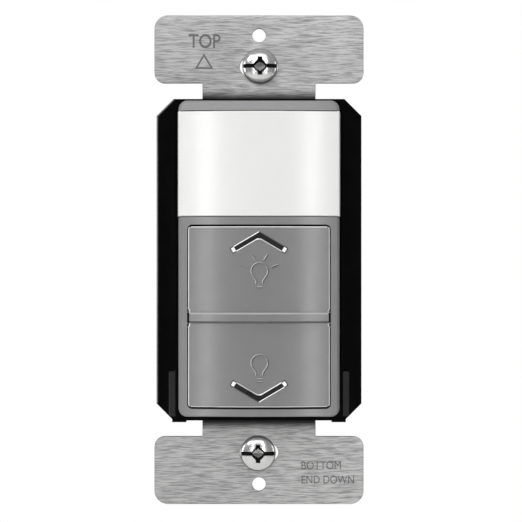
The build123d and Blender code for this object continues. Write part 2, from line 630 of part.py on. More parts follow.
# Lens
# A crowned white shell as wide as the frame. Small convex lenslets inside it gather the
# warmth of a moving body on the sensor.
def make_lens():
    height = LENS_TOP - LENS_BOTTOM
    half = LENS_WIDTH / 2
    foot = LENS_FOOT_WIDTH / 2
    profile = Polygon(
        (-foot, -COVER_DEPTH),
        (-foot, -COVER_DEPTH - FLANGE_THICKNESS),
        (-half, -COVER_DEPTH - 2 * FLANGE_THICKNESS),
        (-half, -CROWN_DEPTH - CUT_PAST),
        (half, -CROWN_DEPTH - CUT_PAST),
        (half, -COVER_DEPTH - 2 * FLANGE_THICKNESS),
        (foot, -COVER_DEPTH - FLANGE_THICKNESS),
        (foot, -COVER_DEPTH),
        align=None,
    )
    solid = extrude(Pos(0, 0, LENS_BOTTOM) * profile, height, dir=(0, 0, 1))
    shell = solid & crown(ARROW_RISE)
    # the two bowed edges first, then the two upright ones
    shell = chamfer([e for e in front_edges(shell) if e.geom_type == GeomType.CIRCLE], EDGE_BEVEL)
    upright = [e for e in front_edges(shell) if e.geom_type == GeomType.LINE and abs(e.center().X) > half - JOIN]
    shell = chamfer([e for e in upright if abs(e.tangent_at(0.5).Z) > 0.9], EDGE_BEVEL)
    # hollow from the back, deeper where the sill of the frame stands
    cavity = block(LENS_WIDTH - 2 * LENS_WALL, height - 2 * LENS_WALL, 0, LENS_CENTRE, 0, 2 * CROWN_DEPTH)
    shell -= cavity & crown(-LENS_WALL)
    sill_room = LENS_SILL_DEPTH + LENS_SILL_GAP
    shell -= block(LENS_WIDTH - 2 * LENS_WALL, height + CUT_PAST, 0, LENS_CENTRE, 0, sill_room)
    # lenslets, as upright cylinder segments on the inner face
    pitch_x = SENSOR_WINDOW_WIDTH / LENSLET_COLUMNS
    pitch_z = SENSOR_WINDOW_HEIGHT / LENSLET_ROWS
    inner_radius = CROWN_RADIUS - LENS_WALL
    for column in range(LENSLET_COLUMNS):
        x = (column - (LENSLET_COLUMNS - 1) / 2) * pitch_x
        wall_y = CROWN_AXIS - math.sqrt(inner_radius**2 - x**2)
        for row in range(LENSLET_ROWS):
            z = LENS_CENTRE + (row - (LENSLET_ROWS - 1) / 2) * pitch_z
            bulge = Pos(x, wall_y + LENSLET_RISE - LENSLET_RADIUS, z) * Cylinder(LENSLET_RADIUS, pitch_z)
            cell = Pos(x, wall_y, z) * Box(pitch_x - LENSLET_GAP, 4 * LENSLET_RISE, pitch_z - LENSLET_GAP)
            shell += bulge & cell
    return shell


# Front cover
# A shallow black tray with cut corners and two feet. Its floor has openings for the sensor,
# the switch plungers, the light guides, the frame pegs and the latch arms.
def cover_outline(width, height, cut):
    outline = Rectangle(width, height)
    return chamfer(outline.vertices(), cut)


def make_front_cover():
    outline = cover_outline(COVER_WIDTH, COVER_HEIGHT, COVER_CORNER_CUT)
    for side in (-1, 1):
        foot_height = 2 * FOOT_DROP
        foot_centre = COVER_WIDTH / 2 - FOOT_FROM_EDGE
        outline += Pos(side * foot_centre, -COVER_HEIGHT / 2) * Rectangle(FOOT_WIDTH, foot_height)
    cover = slab(outline, COVER_BACK, COVER_DEPTH - COVER_BACK)
    rim = [e for e in cover.edges() if e.center().Y < -COVER_DEPTH + 0.01]
    cover = chamfer(rim, COVER_EDGE_BREAK)
    inside = cover_outline(COVER_WIDTH - 2 * COVER_WALL, COVER_HEIGHT - 2 * COVER_WALL, COVER_CORNER_CUT)
    cover -= slab(inside, COVER_BACK, COVER_INSIDE - COVER_BACK)
    # bosses for the case screws and standoffs for the control board
    for x, z in CASE_SCREW_PLACES:
        cover += peg(CASE_BOSS_RADIUS, x, z, COVER_BACK, COVER_INSIDE - COVER_BACK + JOIN)
        cover -= peg(CASE_SCREW_RADIUS, x, z, COVER_BACK, COVER_DEPTH - COVER_BACK - CASE_SCREW_SKIN)
    for x, z in STANDOFF_PLACES:
        cover += peg(STANDOFF_RADIUS, x, z, CONTROL_BOARD_DEPTH, COVER_INSIDE - CONTROL_BOARD_DEPTH + JOIN)
    # openings
    cover -= sensor_window()
    for height in POST_HEIGHTS.values():
        cover -= peg(PLUNGER_RADIUS + COVER_HOLE_CLEARANCE, 0, height, 0, 2 * COVER_DEPTH)
    for x, z in stem_places():
        cover -= peg(GUIDE_STEM_RADIUS, x, z, 0, 2 * COVER_DEPTH)
    for x, z in PEG_PLACES:
        cover -= peg(PEG_RADIUS + PEG_CLEARANCE, x, z, 0, 2 * COVER_DEPTH)
    slot_width = LATCH_THICKNESS + LATCH_CLEARANCE
    slot_height = LATCH_HEIGHT + 2 * LATCH_CLEARANCE
    for side in (-1, 1):
        cover -= block(slot_width, slot_height, side * LATCH_CENTRE_SIDE, LATCH_CENTRE_HEIGHT, 0, 2 * COVER_DEPTH)
    return cover


# Rear housing
# A drafted black box whose rim closes on the cover. It has notches for the necks of the
# strap, four screw tunnels, four side pockets for the terminals and two latch arms.
def housing_outline(shrink=0.0):
    width = HOUSING_WIDTH - 2 * shrink
    height = HOUSING_HEIGHT - 2 * shrink
    # the cut corners stay as thick as the walls
    corner_cut = COVER_CORNER_CUT - (2 - math.sqrt(2)) * shrink
    return cover_outline(width, height, corner_cut)


def drafted_box(shrink, length):
    """Block of the housing's outline from behind the cover into the wall box, narrower at the back."""
    outline = Plane.XZ.offset(COVER_BACK) * housing_outline(shrink)
    return extrude(outline, -length, taper=HOUSING_DRAFT)


def terminal_places():
    """Side and height of each terminal, in the order of the terminal screws."""
    low = TERMINAL_MIDDLE - TERMINAL_SPACING / 2
    high = TERMINAL_MIDDLE + TERMINAL_SPACING / 2
    return {"line": (1, high), "load": (1, low), "neutral": (-1, high), "ground": (-1, low)}


def make_rear_housing():
    total = HOUSING_DEPTH + COVER_BACK
    box = drafted_box(0, total)
    hollow = drafted_box(HOUSING_WALL, total - HOUSING_WALL)
    # the room inside the box at half its wall, which ends where the cover begins
    inner_room = drafted_box(HOUSING_WALL / 2, total)
    behind_cover = Pos(0, total / 2 - COVER_BACK, 0) * Box(2 * HOUSING_WIDTH, total, 2 * HOUSING_HEIGHT)
    back_edges = [e for e in box.edges() if e.center().Y > HOUSING_DEPTH - 0.01]
    box = chamfer(back_edges, HOUSING_BACK_BEVEL)
    housing = box - hollow
    notch_width = NECK_WIDTH + 2 * NECK_CLEARANCE
    housing -= block(notch_width, STRAP_HEIGHT, 0, 0, 0, COVER_DEPTH)
    inside_floor = HOUSING_DEPTH - HOUSING_WALL
    # walls of the terminal pockets
    wall_height = POCKET_HEIGHT + 2 * POCKET_WALL
    wall_span = POCKET_SPAN + 2 * POCKET_WALL
    wall_side = POCKET_FLOOR_SIDE - POCKET_WALL
    outer_side = HOUSING_WIDTH / 2 - HOUSING_WALL
    pocket_y = POCKET_FRONT + POCKET_SPAN / 2
    for side, height in terminal_places().values():
        middle = side * (wall_side + outer_side) / 2
        housing += Pos(middle, pocket_y, height) * Box(outer_side - wall_side, wall_span, wall_height)
    for side, height in terminal_places().values():
        reach = HOUSING_WIDTH / 2 + CUT_PAST - POCKET_FLOOR_SIDE
        middle = side * (POCKET_FLOOR_SIDE + reach / 2)
        housing -= Pos(middle, pocket_y, height) * Box(reach, POCKET_SPAN, POCKET_HEIGHT)
        screw_hole = Cylinder(TERMINAL_SCREW_RADIUS + TERMINAL_CLEARANCE, 4 * POCKET_WALL)
        housing -= Pos(side * wall_side, pocket_y, height) * Rot(0, 90, 0) * screw_hole
    # screw tunnels from the back, with sunk heads
    for x, z in CASE_SCREW_PLACES:
        housing += peg(CASE_BOSS_RADIUS, x, z, -inside_floor - JOIN, inside_floor + JOIN + COVER_BACK)
    for x, z in CASE_SCREW_PLACES:
        housing -= peg(CASE_SCREW_RADIUS + CASE_SCREW_CLEARANCE, x, z, -2 * HOUSING_DEPTH, 3 * HOUSING_DEPTH)
        head_room = CASE_SCREW_HEAD + CASE_SCREW_SUNK
        head_hole = CASE_SCREW_HEAD_RADIUS + CASE_SCREW_CLEARANCE
        housing -= peg(head_hole, x, z, -HOUSING_DEPTH - CUT_PAST, CUT_PAST + head_room)
    # posts that carry the power board
    board_back = -POWER_BOARD_DEPTH + BOARD_THICKNESS
    for side in (-1, 1):
        for end in (-1, 1):
            x = side * (POWER_BOARD_WIDTH / 2 - POWER_POST_FROM_SIDE)
            z = end * (POWER_BOARD_HEIGHT / 2 - POWER_POST_FROM_END)
            housing += peg(POWER_POST_RADIUS, x, z, -inside_floor - JOIN, inside_floor + JOIN - board_back)
    # latch arms: a stem on a web from the side wall, and a hook over the cover
    web_side = HOUSING_WIDTH / 2 - HOUSING_WALL / 2
    web_width = web_side - LATCH_CENTRE_SIDE
    stem_length = LATCH_REACH + COVER_DEPTH + LATCH_PROUD
    hook_width = LATCH_THICKNESS + LATCH_HOOK
    hook = block(hook_width, LATCH_HEIGHT, 0, LATCH_CENTRE_HEIGHT, COVER_DEPTH, LATCH_PROUD)
    hook_edges = [e for e in hook.edges() if e.center().Y < -COVER_DEPTH - LATCH_PROUD + 0.01]
    hook = chamfer(hook_edges, LATCH_HOOK_BEVEL)
    for side in (-1, 1):
        x = side * LATCH_CENTRE_SIDE
        web_middle = side * (LATCH_CENTRE_SIDE + web_side) / 2
        arm = block(LATCH_THICKNESS, LATCH_HEIGHT, x, LATCH_CENTRE_HEIGHT, -LATCH_REACH, stem_length)
        web = block(web_width, LATCH_HEIGHT, web_middle, LATCH_CENTRE_HEIGHT, -LATCH_REACH, LATCH_WEB)
        housing += (arm + web) & inner_room
        housing += (arm - behind_cover) + Pos(x + side * LATCH_HOOK / 2, 0, 0) * hook
    return housing


# Screws
# Every screw is turned about its own axis: a domed head, a shank as thick as its thread and
# a short point.
def turned_screw(head_radius, head_height, shank):
    """Screw along +X: the underside of the head is at zero, and shank is its outline from there."""
    rim = head_height * HEAD_RIM_SHARE
    dome = TangentArc((-head_height, 0), (-rim, head_radius), tangent=(0, 1))
    edge = Polyline((-rim, head_radius), (0, head_radius), *shank, (-head_height, 0))
    return revolve(make_face(dome + edge), Axis.X)


def shank_end(radius, length):
    return [(length - SCREW_POINT, radius), (length, radius - SCREW_POINT), (length, 0)]


def driver_recess(head_height, head_radius):
    """Straight driver slot with a tapered cross in its middle, for a head along +X."""
    slot = Box(2 * DRIVER_SLOT_DEPTH, DRIVER_SLOT_WIDTH, 2 * head_radius)
    cross = Box(2 * DRIVER_SLOT_DEPTH, CROSS_ARM_LENGTH, CROSS_ARM_WIDTH)
    cone = Rot(0, 90, 0) * Cone(CROSS_CONE_RADIUS, CROSS_POINT_RADIUS, CROSS_DEPTH)
    return Pos(-head_height, 0, 0) * (slot + cross + Pos(CROSS_DEPTH / 2, 0, 0) * cone)


def make_box_screw(name):
    x, z = BOX_SCREW_PLACES[name]
    # the neck passes through the strap and its washer, and the thread begins behind them
    neck = [(0, BOX_SCREW_NECK_RADIUS), (BOX_SCREW_NECK, BOX_SCREW_NECK_RADIUS)]
    thread = [(BOX_SCREW_NECK, BOX_SCREW_RADIUS), *shank_end(BOX_SCREW_RADIUS, BOX_SCREW_LENGTH)]
    screw = turned_screw(BOX_SCREW_HEAD_RADIUS, BOX_SCREW_HEAD, neck + thread)
    screw -= driver_recess(BOX_SCREW_HEAD, BOX_SCREW_HEAD_RADIUS)
    # the head faces the room and its driver slot lies level
    turned = Rot(0, 0, 90) * Rot(90, 0, 0) * screw
    return Pos(x, -STRAP_THICKNESS, z) * turned


def make_retainers():
    washers = []
    for x, z in BOX_SCREW_PLACES.values():
        ring = Circle(RETAINER_RADIUS) - Circle(BOX_SCREW_NECK_RADIUS + RETAINER_CLEARANCE)
        washers.append(slab(Pos(x, z) * ring, -RETAINER_THICKNESS, RETAINER_THICKNESS))
    return Compound(children=washers)


def make_case_screws():
    screws = []
    for x, z in CASE_SCREW_PLACES:
        head_back = HOUSING_DEPTH - CASE_SCREW_SUNK
        length = head_back - CASE_SCREW_HEAD + COVER_DEPTH - CASE_SCREW_SKIN - CASE_SCREW_TIP_GAP
        shank = [(0, CASE_SCREW_RADIUS), *shank_end(CASE_SCREW_RADIUS, length)]
        screw = turned_screw(CASE_SCREW_HEAD_RADIUS, CASE_SCREW_HEAD, shank)
        arm = Box(2 * CASE_RECESS_DEPTH, CASE_RECESS_WIDTH, CASE_RECESS_LENGTH)
        screw -= Pos(-CASE_SCREW_HEAD, 0, 0) * (arm + Rot(90, 0, 0) * arm)
        screws.append(Pos(x, head_back - CASE_SCREW_HEAD, z) * Rot(0, 0, -90) * screw)
    return Compound(children=screws)


# Terminals
# A brass plate lies on the floor of each pocket, and its screw clamps a wire against it.
def make_terminal_plates():
    plates = []
    y = POCKET_FRONT + POCKET_SPAN / 2
    for side, height in terminal_places().values():
        plate = Box(TERMINAL_PLATE, POCKET_SPAN - TERMINAL_PLATE_MARGIN, POCKET_HEIGHT - TERMINAL_PLATE_MARGIN)
        plate -= Rot(0, 90, 0) * Cylinder(TERMINAL_SCREW_RADIUS + TERMINAL_CLEARANCE, 2 * TERMINAL_PLATE)
        plates.append(Pos(side * (POCKET_FLOOR_SIDE + TERMINAL_PLATE / 2), y, height) * plate)
    return Compound(children=plates)


def make_terminal_screw(name):
    side, height = terminal_places()[name]
    shank = [(0, TERMINAL_SCREW_RADIUS), *shank_end(TERMINAL_SCREW_RADIUS, TERMINAL_SCREW_LENGTH)]
    screw = turned_screw(TERMINAL_HEAD_RADIUS, TERMINAL_HEAD, shank)
    slot = Box(2 * TERMINAL_SLOT_DEPTH, TERMINAL_SLOT_WIDTH, 2 * TERMINAL_HEAD_RADIUS)
    cross = Box(2 * TERMINAL_SLOT_DEPTH, TERMINAL_CROSS_LENGTH, TERMINAL_SLOT_WIDTH)
    screw -= Pos(-TERMINAL_HEAD, 0, 0) * (slot + cross)
    head_side = POCKET_FLOOR_SIDE + TERMINAL_PLATE + TERMINAL_HEAD_GAP
    turn = Rot(0, 0, 180) if side > 0 else Rot(0, 0, 0)
    return Pos(side * head_side, POCKET_FRONT + POCKET_SPAN / 2, height) * turn * screw


# Control board and what stands on it
def case_boss_holes():
    """What both boards leave free for the bosses of the case screws."""
    radius = CASE_BOSS_RADIUS + BOARD_HOLE_CLEARANCE
    return [peg(radius, x, z, -2 * HOUSING_DEPTH, 3 * HOUSING_DEPTH) for x, z in CASE_SCREW_PLACES]


def make_control_board():
    half = CONTROL_BOARD_WIDTH / 2
    top = CONTROL_BOARD_HEIGHT / 2
    bottom = -top - CONTROL_BOARD_FOOT
    clear_triac = TRIAC_SIDE + TRIAC_WIDTH / 2 + TRIAC_ROOM
    triac_top = TRIAC_HEIGHT + TRIAC_TAB_HEIGHT / 2 + TRIAC_ROOM
    clear_latch = LATCH_CENTRE_SIDE - LATCH_THICKNESS / 2 - LATCH_ROOM
    latch_top = LATCH_CENTRE_HEIGHT + LATCH_HEIGHT / 2 + LATCH_ROOM
    outline = Polygon(
        (-half, top),
        (half, top),
        (half, latch_top),
        (clear_latch, latch_top),
        (clear_latch, bottom),
        (clear_triac, bottom),
        (clear_triac, triac_top),
        (-half, triac_top),
        align=None,
    )
    corners = [v for v in outline.vertices() if v.Y > 0]
    outline = chamfer(corners, CONTROL_BOARD_CORNER)
    board = slab(outline, CONTROL_BOARD_DEPTH - BOARD_THICKNESS, BOARD_THICKNESS)
    return board - case_boss_holes()


def make_pir_sensor():
    can_length = SENSOR_CAN_FRONT - CONTROL_BOARD_DEPTH
    can = peg(SENSOR_CAN_RADIUS, 0, LENS_CENTRE, CONTROL_BOARD_DEPTH, can_length)
    rim = [e for e in can.edges() if e.center().Y < -SENSOR_CAN_FRONT + 0.01]
    can = chamfer(rim, SENSOR_CAN_BEVEL)
    can += peg(SENSOR_FLANGE_RADIUS, 0, LENS_CENTRE, CONTROL_BOARD_DEPTH, SENSOR_FLANGE)
    pane_back = SENSOR_CAN_FRONT - JOIN
    pane = block(SENSOR_PANE_WIDTH, SENSOR_PANE_HEIGHT, 0, LENS_CENTRE, pane_back, JOIN + SENSOR_PANE)
    return can + pane


def make_light_sensor():
    length = DAYLIGHT_SENSOR_FRONT - CONTROL_BOARD_DEPTH
    body = peg(DAYLIGHT_SENSOR_RADIUS, DAYLIGHT_SENSOR_SIDE, LENS_CENTRE, CONTROL_BOARD_DEPTH, length)
    nose = [e for e in body.edges() if e.center().Y < -DAYLIGHT_SENSOR_FRONT + 0.01]
    return chamfer(nose, DAYLIGHT_SENSOR_NOSE)


def make_switch_body(name):
    length = SWITCH_BODY_FRONT - CONTROL_BOARD_DEPTH
    height = POST_HEIGHTS[name]
    body = block(SWITCH_BODY, SWITCH_BODY, 0, height, CONTROL_BOARD_DEPTH, length, SWITCH_CORNER)
    bore = PLUNGER_RADIUS + PLUNGER_CLEARANCE
    return body - peg(bore, 0, height, SWITCH_BODY_FRONT - PLUNGER_TAIL, 2 * PLUNGER_TAIL)


def make_plunger(name):
    back = SWITCH_BODY_FRONT - PLUNGER_TAIL + PLUNGER_FREE_TRAVEL
    front = KEY_SKIRT_DEPTH - PLUNGER_REST_GAP
    pin = peg(PLUNGER_RADIUS, 0, POST_HEIGHTS[name], back, front - back)
    rim = [e for e in pin.edges() if e.center().Y < -front + 0.01]
    return chamfer(rim, EDGE_BEVEL)


def make_indicator_leds():
    leds = []
    for x, z in stem_places():
        body = block(LED_WIDTH, LED_WIDTH, x, z, CONTROL_BOARD_DEPTH, LED_HEIGHT)
        body += peg(LED_EYE_RADIUS, x, z, CONTROL_BOARD_DEPTH + LED_HEIGHT, LED_EYE)
        leds.append(body)
    return Compound(children=leds)


def make_board_connector():
    """Header block on the control board with six pins that reach the power board."""
    board_back = CONTROL_BOARD_DEPTH - BOARD_THICKNESS
    header_back = board_back - HEADER_LENGTH
    header = block(PIN_COUNT * PIN_SPACING, HEADER_HEIGHT, 0, HEADER_Z, header_back, HEADER_LENGTH)
    pin_length = header_back + PIN_ROOTED - POWER_BOARD_DEPTH
    for pin in range(PIN_COUNT):
        x = (pin - (PIN_COUNT - 1) / 2) * PIN_SPACING
        header += block(PIN_SIZE, PIN_SIZE, x, HEADER_Z, POWER_BOARD_DEPTH, pin_length)
    return header


# Power board and what stands on it
def make_power_board():
    outline = RectangleRounded(POWER_BOARD_WIDTH, POWER_BOARD_HEIGHT, POWER_BOARD_CORNER)
    board = slab(outline, POWER_BOARD_DEPTH - BOARD_THICKNESS, BOARD_THICKNESS)
    return board - case_boss_holes()


def make_triac():
    """Flat power semiconductor: tab and body on the strap, three legs to the power board."""
    hole_z = TRIAC_HEIGHT + TRIAC_TAB_HEIGHT / 2 - TRIAC_TAB_HOLE_FROM_TOP
    tab = block(TRIAC_WIDTH, TRIAC_TAB_HEIGHT, TRIAC_SIDE, TRIAC_HEIGHT, -TRIAC_PAD - TRIAC_TAB, TRIAC_TAB)
    tab -= peg(TRIAC_TAB_HOLE_RADIUS, TRIAC_SIDE, hole_z, -HOUSING_DEPTH, HOUSING_DEPTH)
    body_z = TRIAC_HEIGHT - TRIAC_TAB_HEIGHT / 2 + TRIAC_BODY_HEIGHT / 2
    body_back = -TRIAC_PAD - TRIAC_BODY
    part = tab + block(TRIAC_WIDTH - JOIN, TRIAC_BODY_HEIGHT, TRIAC_SIDE, body_z, body_back, TRIAC_BODY)
    leg_length = body_back + JOIN - POWER_BOARD_DEPTH
    for leg in (-1, 0, 1):
        x = TRIAC_SIDE + PIN_SPACING * leg
        part += block(TRIAC_LEG_WIDTH, TRIAC_LEG, x, body_z - TRIAC_LEG_DROP, POWER_BOARD_DEPTH, leg_length)
    return part


def make_triac_pad():
    width = TRIAC_WIDTH + 2 * TRIAC_PAD_MARGIN
    height = TRIAC_TAB_HEIGHT + 2 * TRIAC_PAD_MARGIN
    return block(width, height, TRIAC_SIDE, TRIAC_HEIGHT, -TRIAC_PAD, TRIAC_PAD)


def make_choke_core():
    ring = Circle(CHOKE_OUTER_RADIUS) - Circle(CHOKE_INNER_RADIUS)
    return slab(Pos(CHOKE_X, CHOKE_Z) * ring, POWER_BOARD_DEPTH + CHOKE_STANDING, CHOKE_THICKNESS)


def make_choke_winding():
    """Turns of enamelled wire around the ring, as flat bands fanned about its middle."""
    middle = (CHOKE_OUTER_RADIUS + CHOKE_INNER_RADIUS) / 2
    ring_width = CHOKE_OUTER_RADIUS - CHOKE_INNER_RADIUS + 2 * CHOKE_WIRE_FIT
    ring_length = CHOKE_THICKNESS + 2 * CHOKE_WIRE_FIT
    band = Box(ring_width + 2 * CHOKE_WIRE_ROUND, ring_length + 2 * CHOKE_WIRE_ROUND, CHOKE_WIRE)
    # the ring is wider at a band's edges than at its middle
    band -= Box(ring_width + CHOKE_BAND_SAG, ring_length, 2 * CHOKE_WIRE)
    centre_y = -POWER_BOARD_DEPTH - CHOKE_STANDING - CHOKE_THICKNESS / 2
    turns = []
    for turn in range(CHOKE_TURNS):
        placed = Rot(0, turn * 360 / CHOKE_TURNS, 0) * Pos(middle, 0, 0) * band
        turns.append(Pos(CHOKE_X, centre_y, CHOKE_Z) * placed)
    return Compound(children=turns)


def make_film_capacitor():
    x = POWER_BOARD_WIDTH / 2 - FILM_CAPACITOR_FROM_SIDE
    z = POWER_BOARD_HEIGHT / 2 - FILM_CAPACITOR_FROM_TOP
    return block(FILM_CAPACITOR_WIDTH, FILM_CAPACITOR_HEIGHT, x, z, POWER_BOARD_DEPTH, FILM_CAPACITOR_LENGTH)


def bevelled_round(shape):
    """A round part with both of its rims broken."""
    rims = [e for e in shape.edges() if e.geom_type == GeomType.CIRCLE]
    return chamfer(rims, PART_BEVEL)


def make_electrolytic_capacitor():
    can = peg(CAPACITOR_RADIUS, CAPACITOR_X, SMALL_PARTS_Z, POWER_BOARD_DEPTH, CAPACITOR_LENGTH)
    return bevelled_round(can)


def make_varistor():
    disc_y = -POWER_BOARD_DEPTH - VARISTOR_STANDING - VARISTOR_RADIUS
    disc = Rot(0, 90, 0) * Cylinder(VARISTOR_RADIUS, VARISTOR_THICKNESS)
    disc = bevelled_round(Pos(VARISTOR_X, disc_y, SMALL_PARTS_Z) * disc)
    leg_length = VARISTOR_STANDING + VARISTOR_RADIUS / 2
    for side in (-1, 1):
        z = SMALL_PARTS_Z + side * VARISTOR_LEG_SPREAD
        disc += block(VARISTOR_LEG, VARISTOR_LEG, VARISTOR_X, z, POWER_BOARD_DEPTH, leg_length)
    return disc


def make_fuse():
    x = POWER_BOARD_WIDTH / 2 - FUSE_FROM_SIDE
    return bevelled_round(peg(FUSE_RADIUS, x, SMALL_PARTS_Z, POWER_BOARD_DEPTH, FUSE_LENGTH))


def make_supply_coil():
    """Small moulded transformer: a bobbin between two core halves."""
    bobbin = RectangleRounded(COIL_BOBBIN_WIDTH, COIL_BOBBIN_HEIGHT, COIL_BOBBIN_CORNER)
    coil = slab(Pos(COIL_X, COIL_Z) * bobbin, POWER_BOARD_DEPTH + JOIN, COIL_LENGTH - 2 * JOIN)
    for depth in (POWER_BOARD_DEPTH, POWER_BOARD_DEPTH + COIL_LENGTH - COIL_CORE):
        coil += block(COIL_WIDTH, COIL_HEIGHT, COIL_X, COIL_Z, depth, COIL_CORE)
    return coil


save(make_strap(), "strap")
save(make_front_cover(), "front_cover")
save(make_face_frame(), "face_frame")
save(make_lens(), "sensor_lens")
save(make_bar(), "divider_bar")
for key in POST_HEIGHTS:
    save(make_key(key), f"{key}_button")
    save(make_arrow_trim(key), f"{key}_chevron_trim")
    save(make_arrow_window(key), f"{key}_chevron_window")
    save(make_switch_body(key), f"{key}_switch_body")
    save(make_plunger(key), f"{key}_switch_plunger")
save(make_rear_housing(), "rear_housing")
for end_name in BOX_SCREW_PLACES:
    save(make_box_screw(end_name), f"{end_name}_mount_screw")
save(make_retainers(), "screw_retainers")
save(make_case_screws(), "housing_screws")
save(make_terminal_plates(), "terminal_plates")
for terminal in terminal_places():
    save(make_terminal_screw(terminal), f"{terminal}_terminal_screw")
save(make_control_board(), "control_board")
save(make_pir_sensor(), "pir_sensor")
save(make_light_sensor(), "light_sensor")
save(make_indicator_leds(), "indicator_leds")
save(make_board_connector(), "board_connector")
save(make_power_board(), "power_board")
save(make_triac(), "triac")
save(make_triac_pad(), "triac_pad")
save(make_choke_core(), "choke_core")
save(make_choke_winding(), "choke_winding")
save(make_film_capacitor(), "film_capacitor")
save(make_electrolytic_capacitor(), "electrolytic_capacitor")
save(make_varistor(), "varistor")
save(make_fuse(), "fuse")
save(make_supply_coil(), "supply_coil")
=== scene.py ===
import math
import bmesh
import bpy
from mathutils import Matrix, Vector


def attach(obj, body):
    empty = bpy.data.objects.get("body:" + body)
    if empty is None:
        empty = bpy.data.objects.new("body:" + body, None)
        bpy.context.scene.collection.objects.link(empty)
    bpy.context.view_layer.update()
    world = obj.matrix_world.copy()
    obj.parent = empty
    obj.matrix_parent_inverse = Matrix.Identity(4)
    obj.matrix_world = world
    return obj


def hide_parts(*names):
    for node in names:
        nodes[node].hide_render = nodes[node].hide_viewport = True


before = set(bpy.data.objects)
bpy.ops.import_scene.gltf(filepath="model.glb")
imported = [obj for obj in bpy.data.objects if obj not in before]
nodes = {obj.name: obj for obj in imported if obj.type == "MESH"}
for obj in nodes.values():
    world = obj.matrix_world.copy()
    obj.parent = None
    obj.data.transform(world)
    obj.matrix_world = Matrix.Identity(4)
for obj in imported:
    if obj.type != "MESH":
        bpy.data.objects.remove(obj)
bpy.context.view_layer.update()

MM = 0.001

# Strap
# One stamped sheet of zinc-plated steel, 1.2 mm thick, with brush marks that run level. Its
# two ears carry the screws, and its middle is held between the front cover and the housing.
STRAP_FRONT = -1.2 * MM
SHEEN_REACH = 22.5 * MM
STRAP_EDGE = 0.15 * MM
COVER_HALF_HEIGHT = 34.45 * MM
COVER_DROP = 34.81 * MM
EDGE_BACK = -0.9
STRAP_FACING = -0.93
CONTACT_SHADE_TOP = 2.6 * MM
CONTACT_SHADE_BOTTOM = 2.0 * MM
BRUSH_DEPTH = 0.02 * MM
BLOTCH_SHARE = 0.12
MERGE = 1e-6
SMOOTH_ANGLE = math.radians(32)
FLAT_ANGLE = math.radians(0.3)
SHARP_ANGLE = math.radians(50)


def merged_copy(node):
    """A merged copy of a CAD node's mesh, ready to be shaped."""
    shape = bmesh.new()
    shape.from_mesh(nodes[node].data)
    bmesh.ops.remove_doubles(shape, verts=shape.verts, dist=MERGE)
    return shape


def finished_piece(shape, name, body, material, slot, *replaced):
    """Turns a shape into a piece of the object: smooth but for its sharp edges."""
    shape.normal_update()
    for face in shape.faces:
        face.smooth = True
    for edge in shape.edges:
        edge.smooth = edge.calc_face_angle(math.pi) < SMOOTH_ANGLE
    mesh = bpy.data.meshes.new(name)
    shape.to_mesh(mesh)
    shape.free()
    mesh.materials.append(material)
    piece = bpy.data.objects.new(name, mesh)
    bpy.context.scene.collection.objects.link(piece)
    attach(piece, body)
    if replaced:
        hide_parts(*replaced)
    return piece


def new_group(name, inputs, outputs):
    """An empty shader node group with named sockets."""
    tree = bpy.data.node_groups.new(name, "ShaderNodeTree")
    for label, kind, value in inputs:
        tree.interface.new_socket(label, in_out="INPUT", socket_type=kind).default_value = value
    for label, kind in outputs:
        tree.interface.new_socket(label, in_out="OUTPUT", socket_type=kind)
    return tree, tree.nodes.new("NodeGroupInput"), tree.nodes.new("NodeGroupOutput")


def add_node(tree, kind, inputs=None, **settings):
    """A node with its settings and the values of its unlinked sockets."""
    node = tree.nodes.new(kind)
    for name, value in settings.items():
        setattr(node, name, value)
    for name, value in (inputs or {}).items():
        node.inputs[name].default_value = value
    return node


def ranged(tree, taken, given, **settings):
    """A node that takes one range of a value to another."""
    limits = dict(zip(("From Min", "From Max", "To Min", "To Max"), (*taken, *given)))
    return add_node(tree, "ShaderNodeMapRange", limits, **settings)


def place_group(tree, group, inputs):
    """A copy of a node group in a material, with its own values."""
    node = tree.nodes.new("ShaderNodeGroup")
    node.node_tree = group
    for name, value in inputs.items():
        node.inputs[name].default_value = value
    return node


def plain_material(name, metallic=0.0, specular=0.5):
    """A material whose constant values stand on the shader's own sockets."""
    material = bpy.data.materials.new(name)
    material.use_nodes = True
    shader = material.node_tree.nodes["Principled BSDF"]
    shader.inputs["Metallic"].default_value = metallic
    shader.inputs["Specular IOR Level"].default_value = specular
    return material, material.node_tree, shader


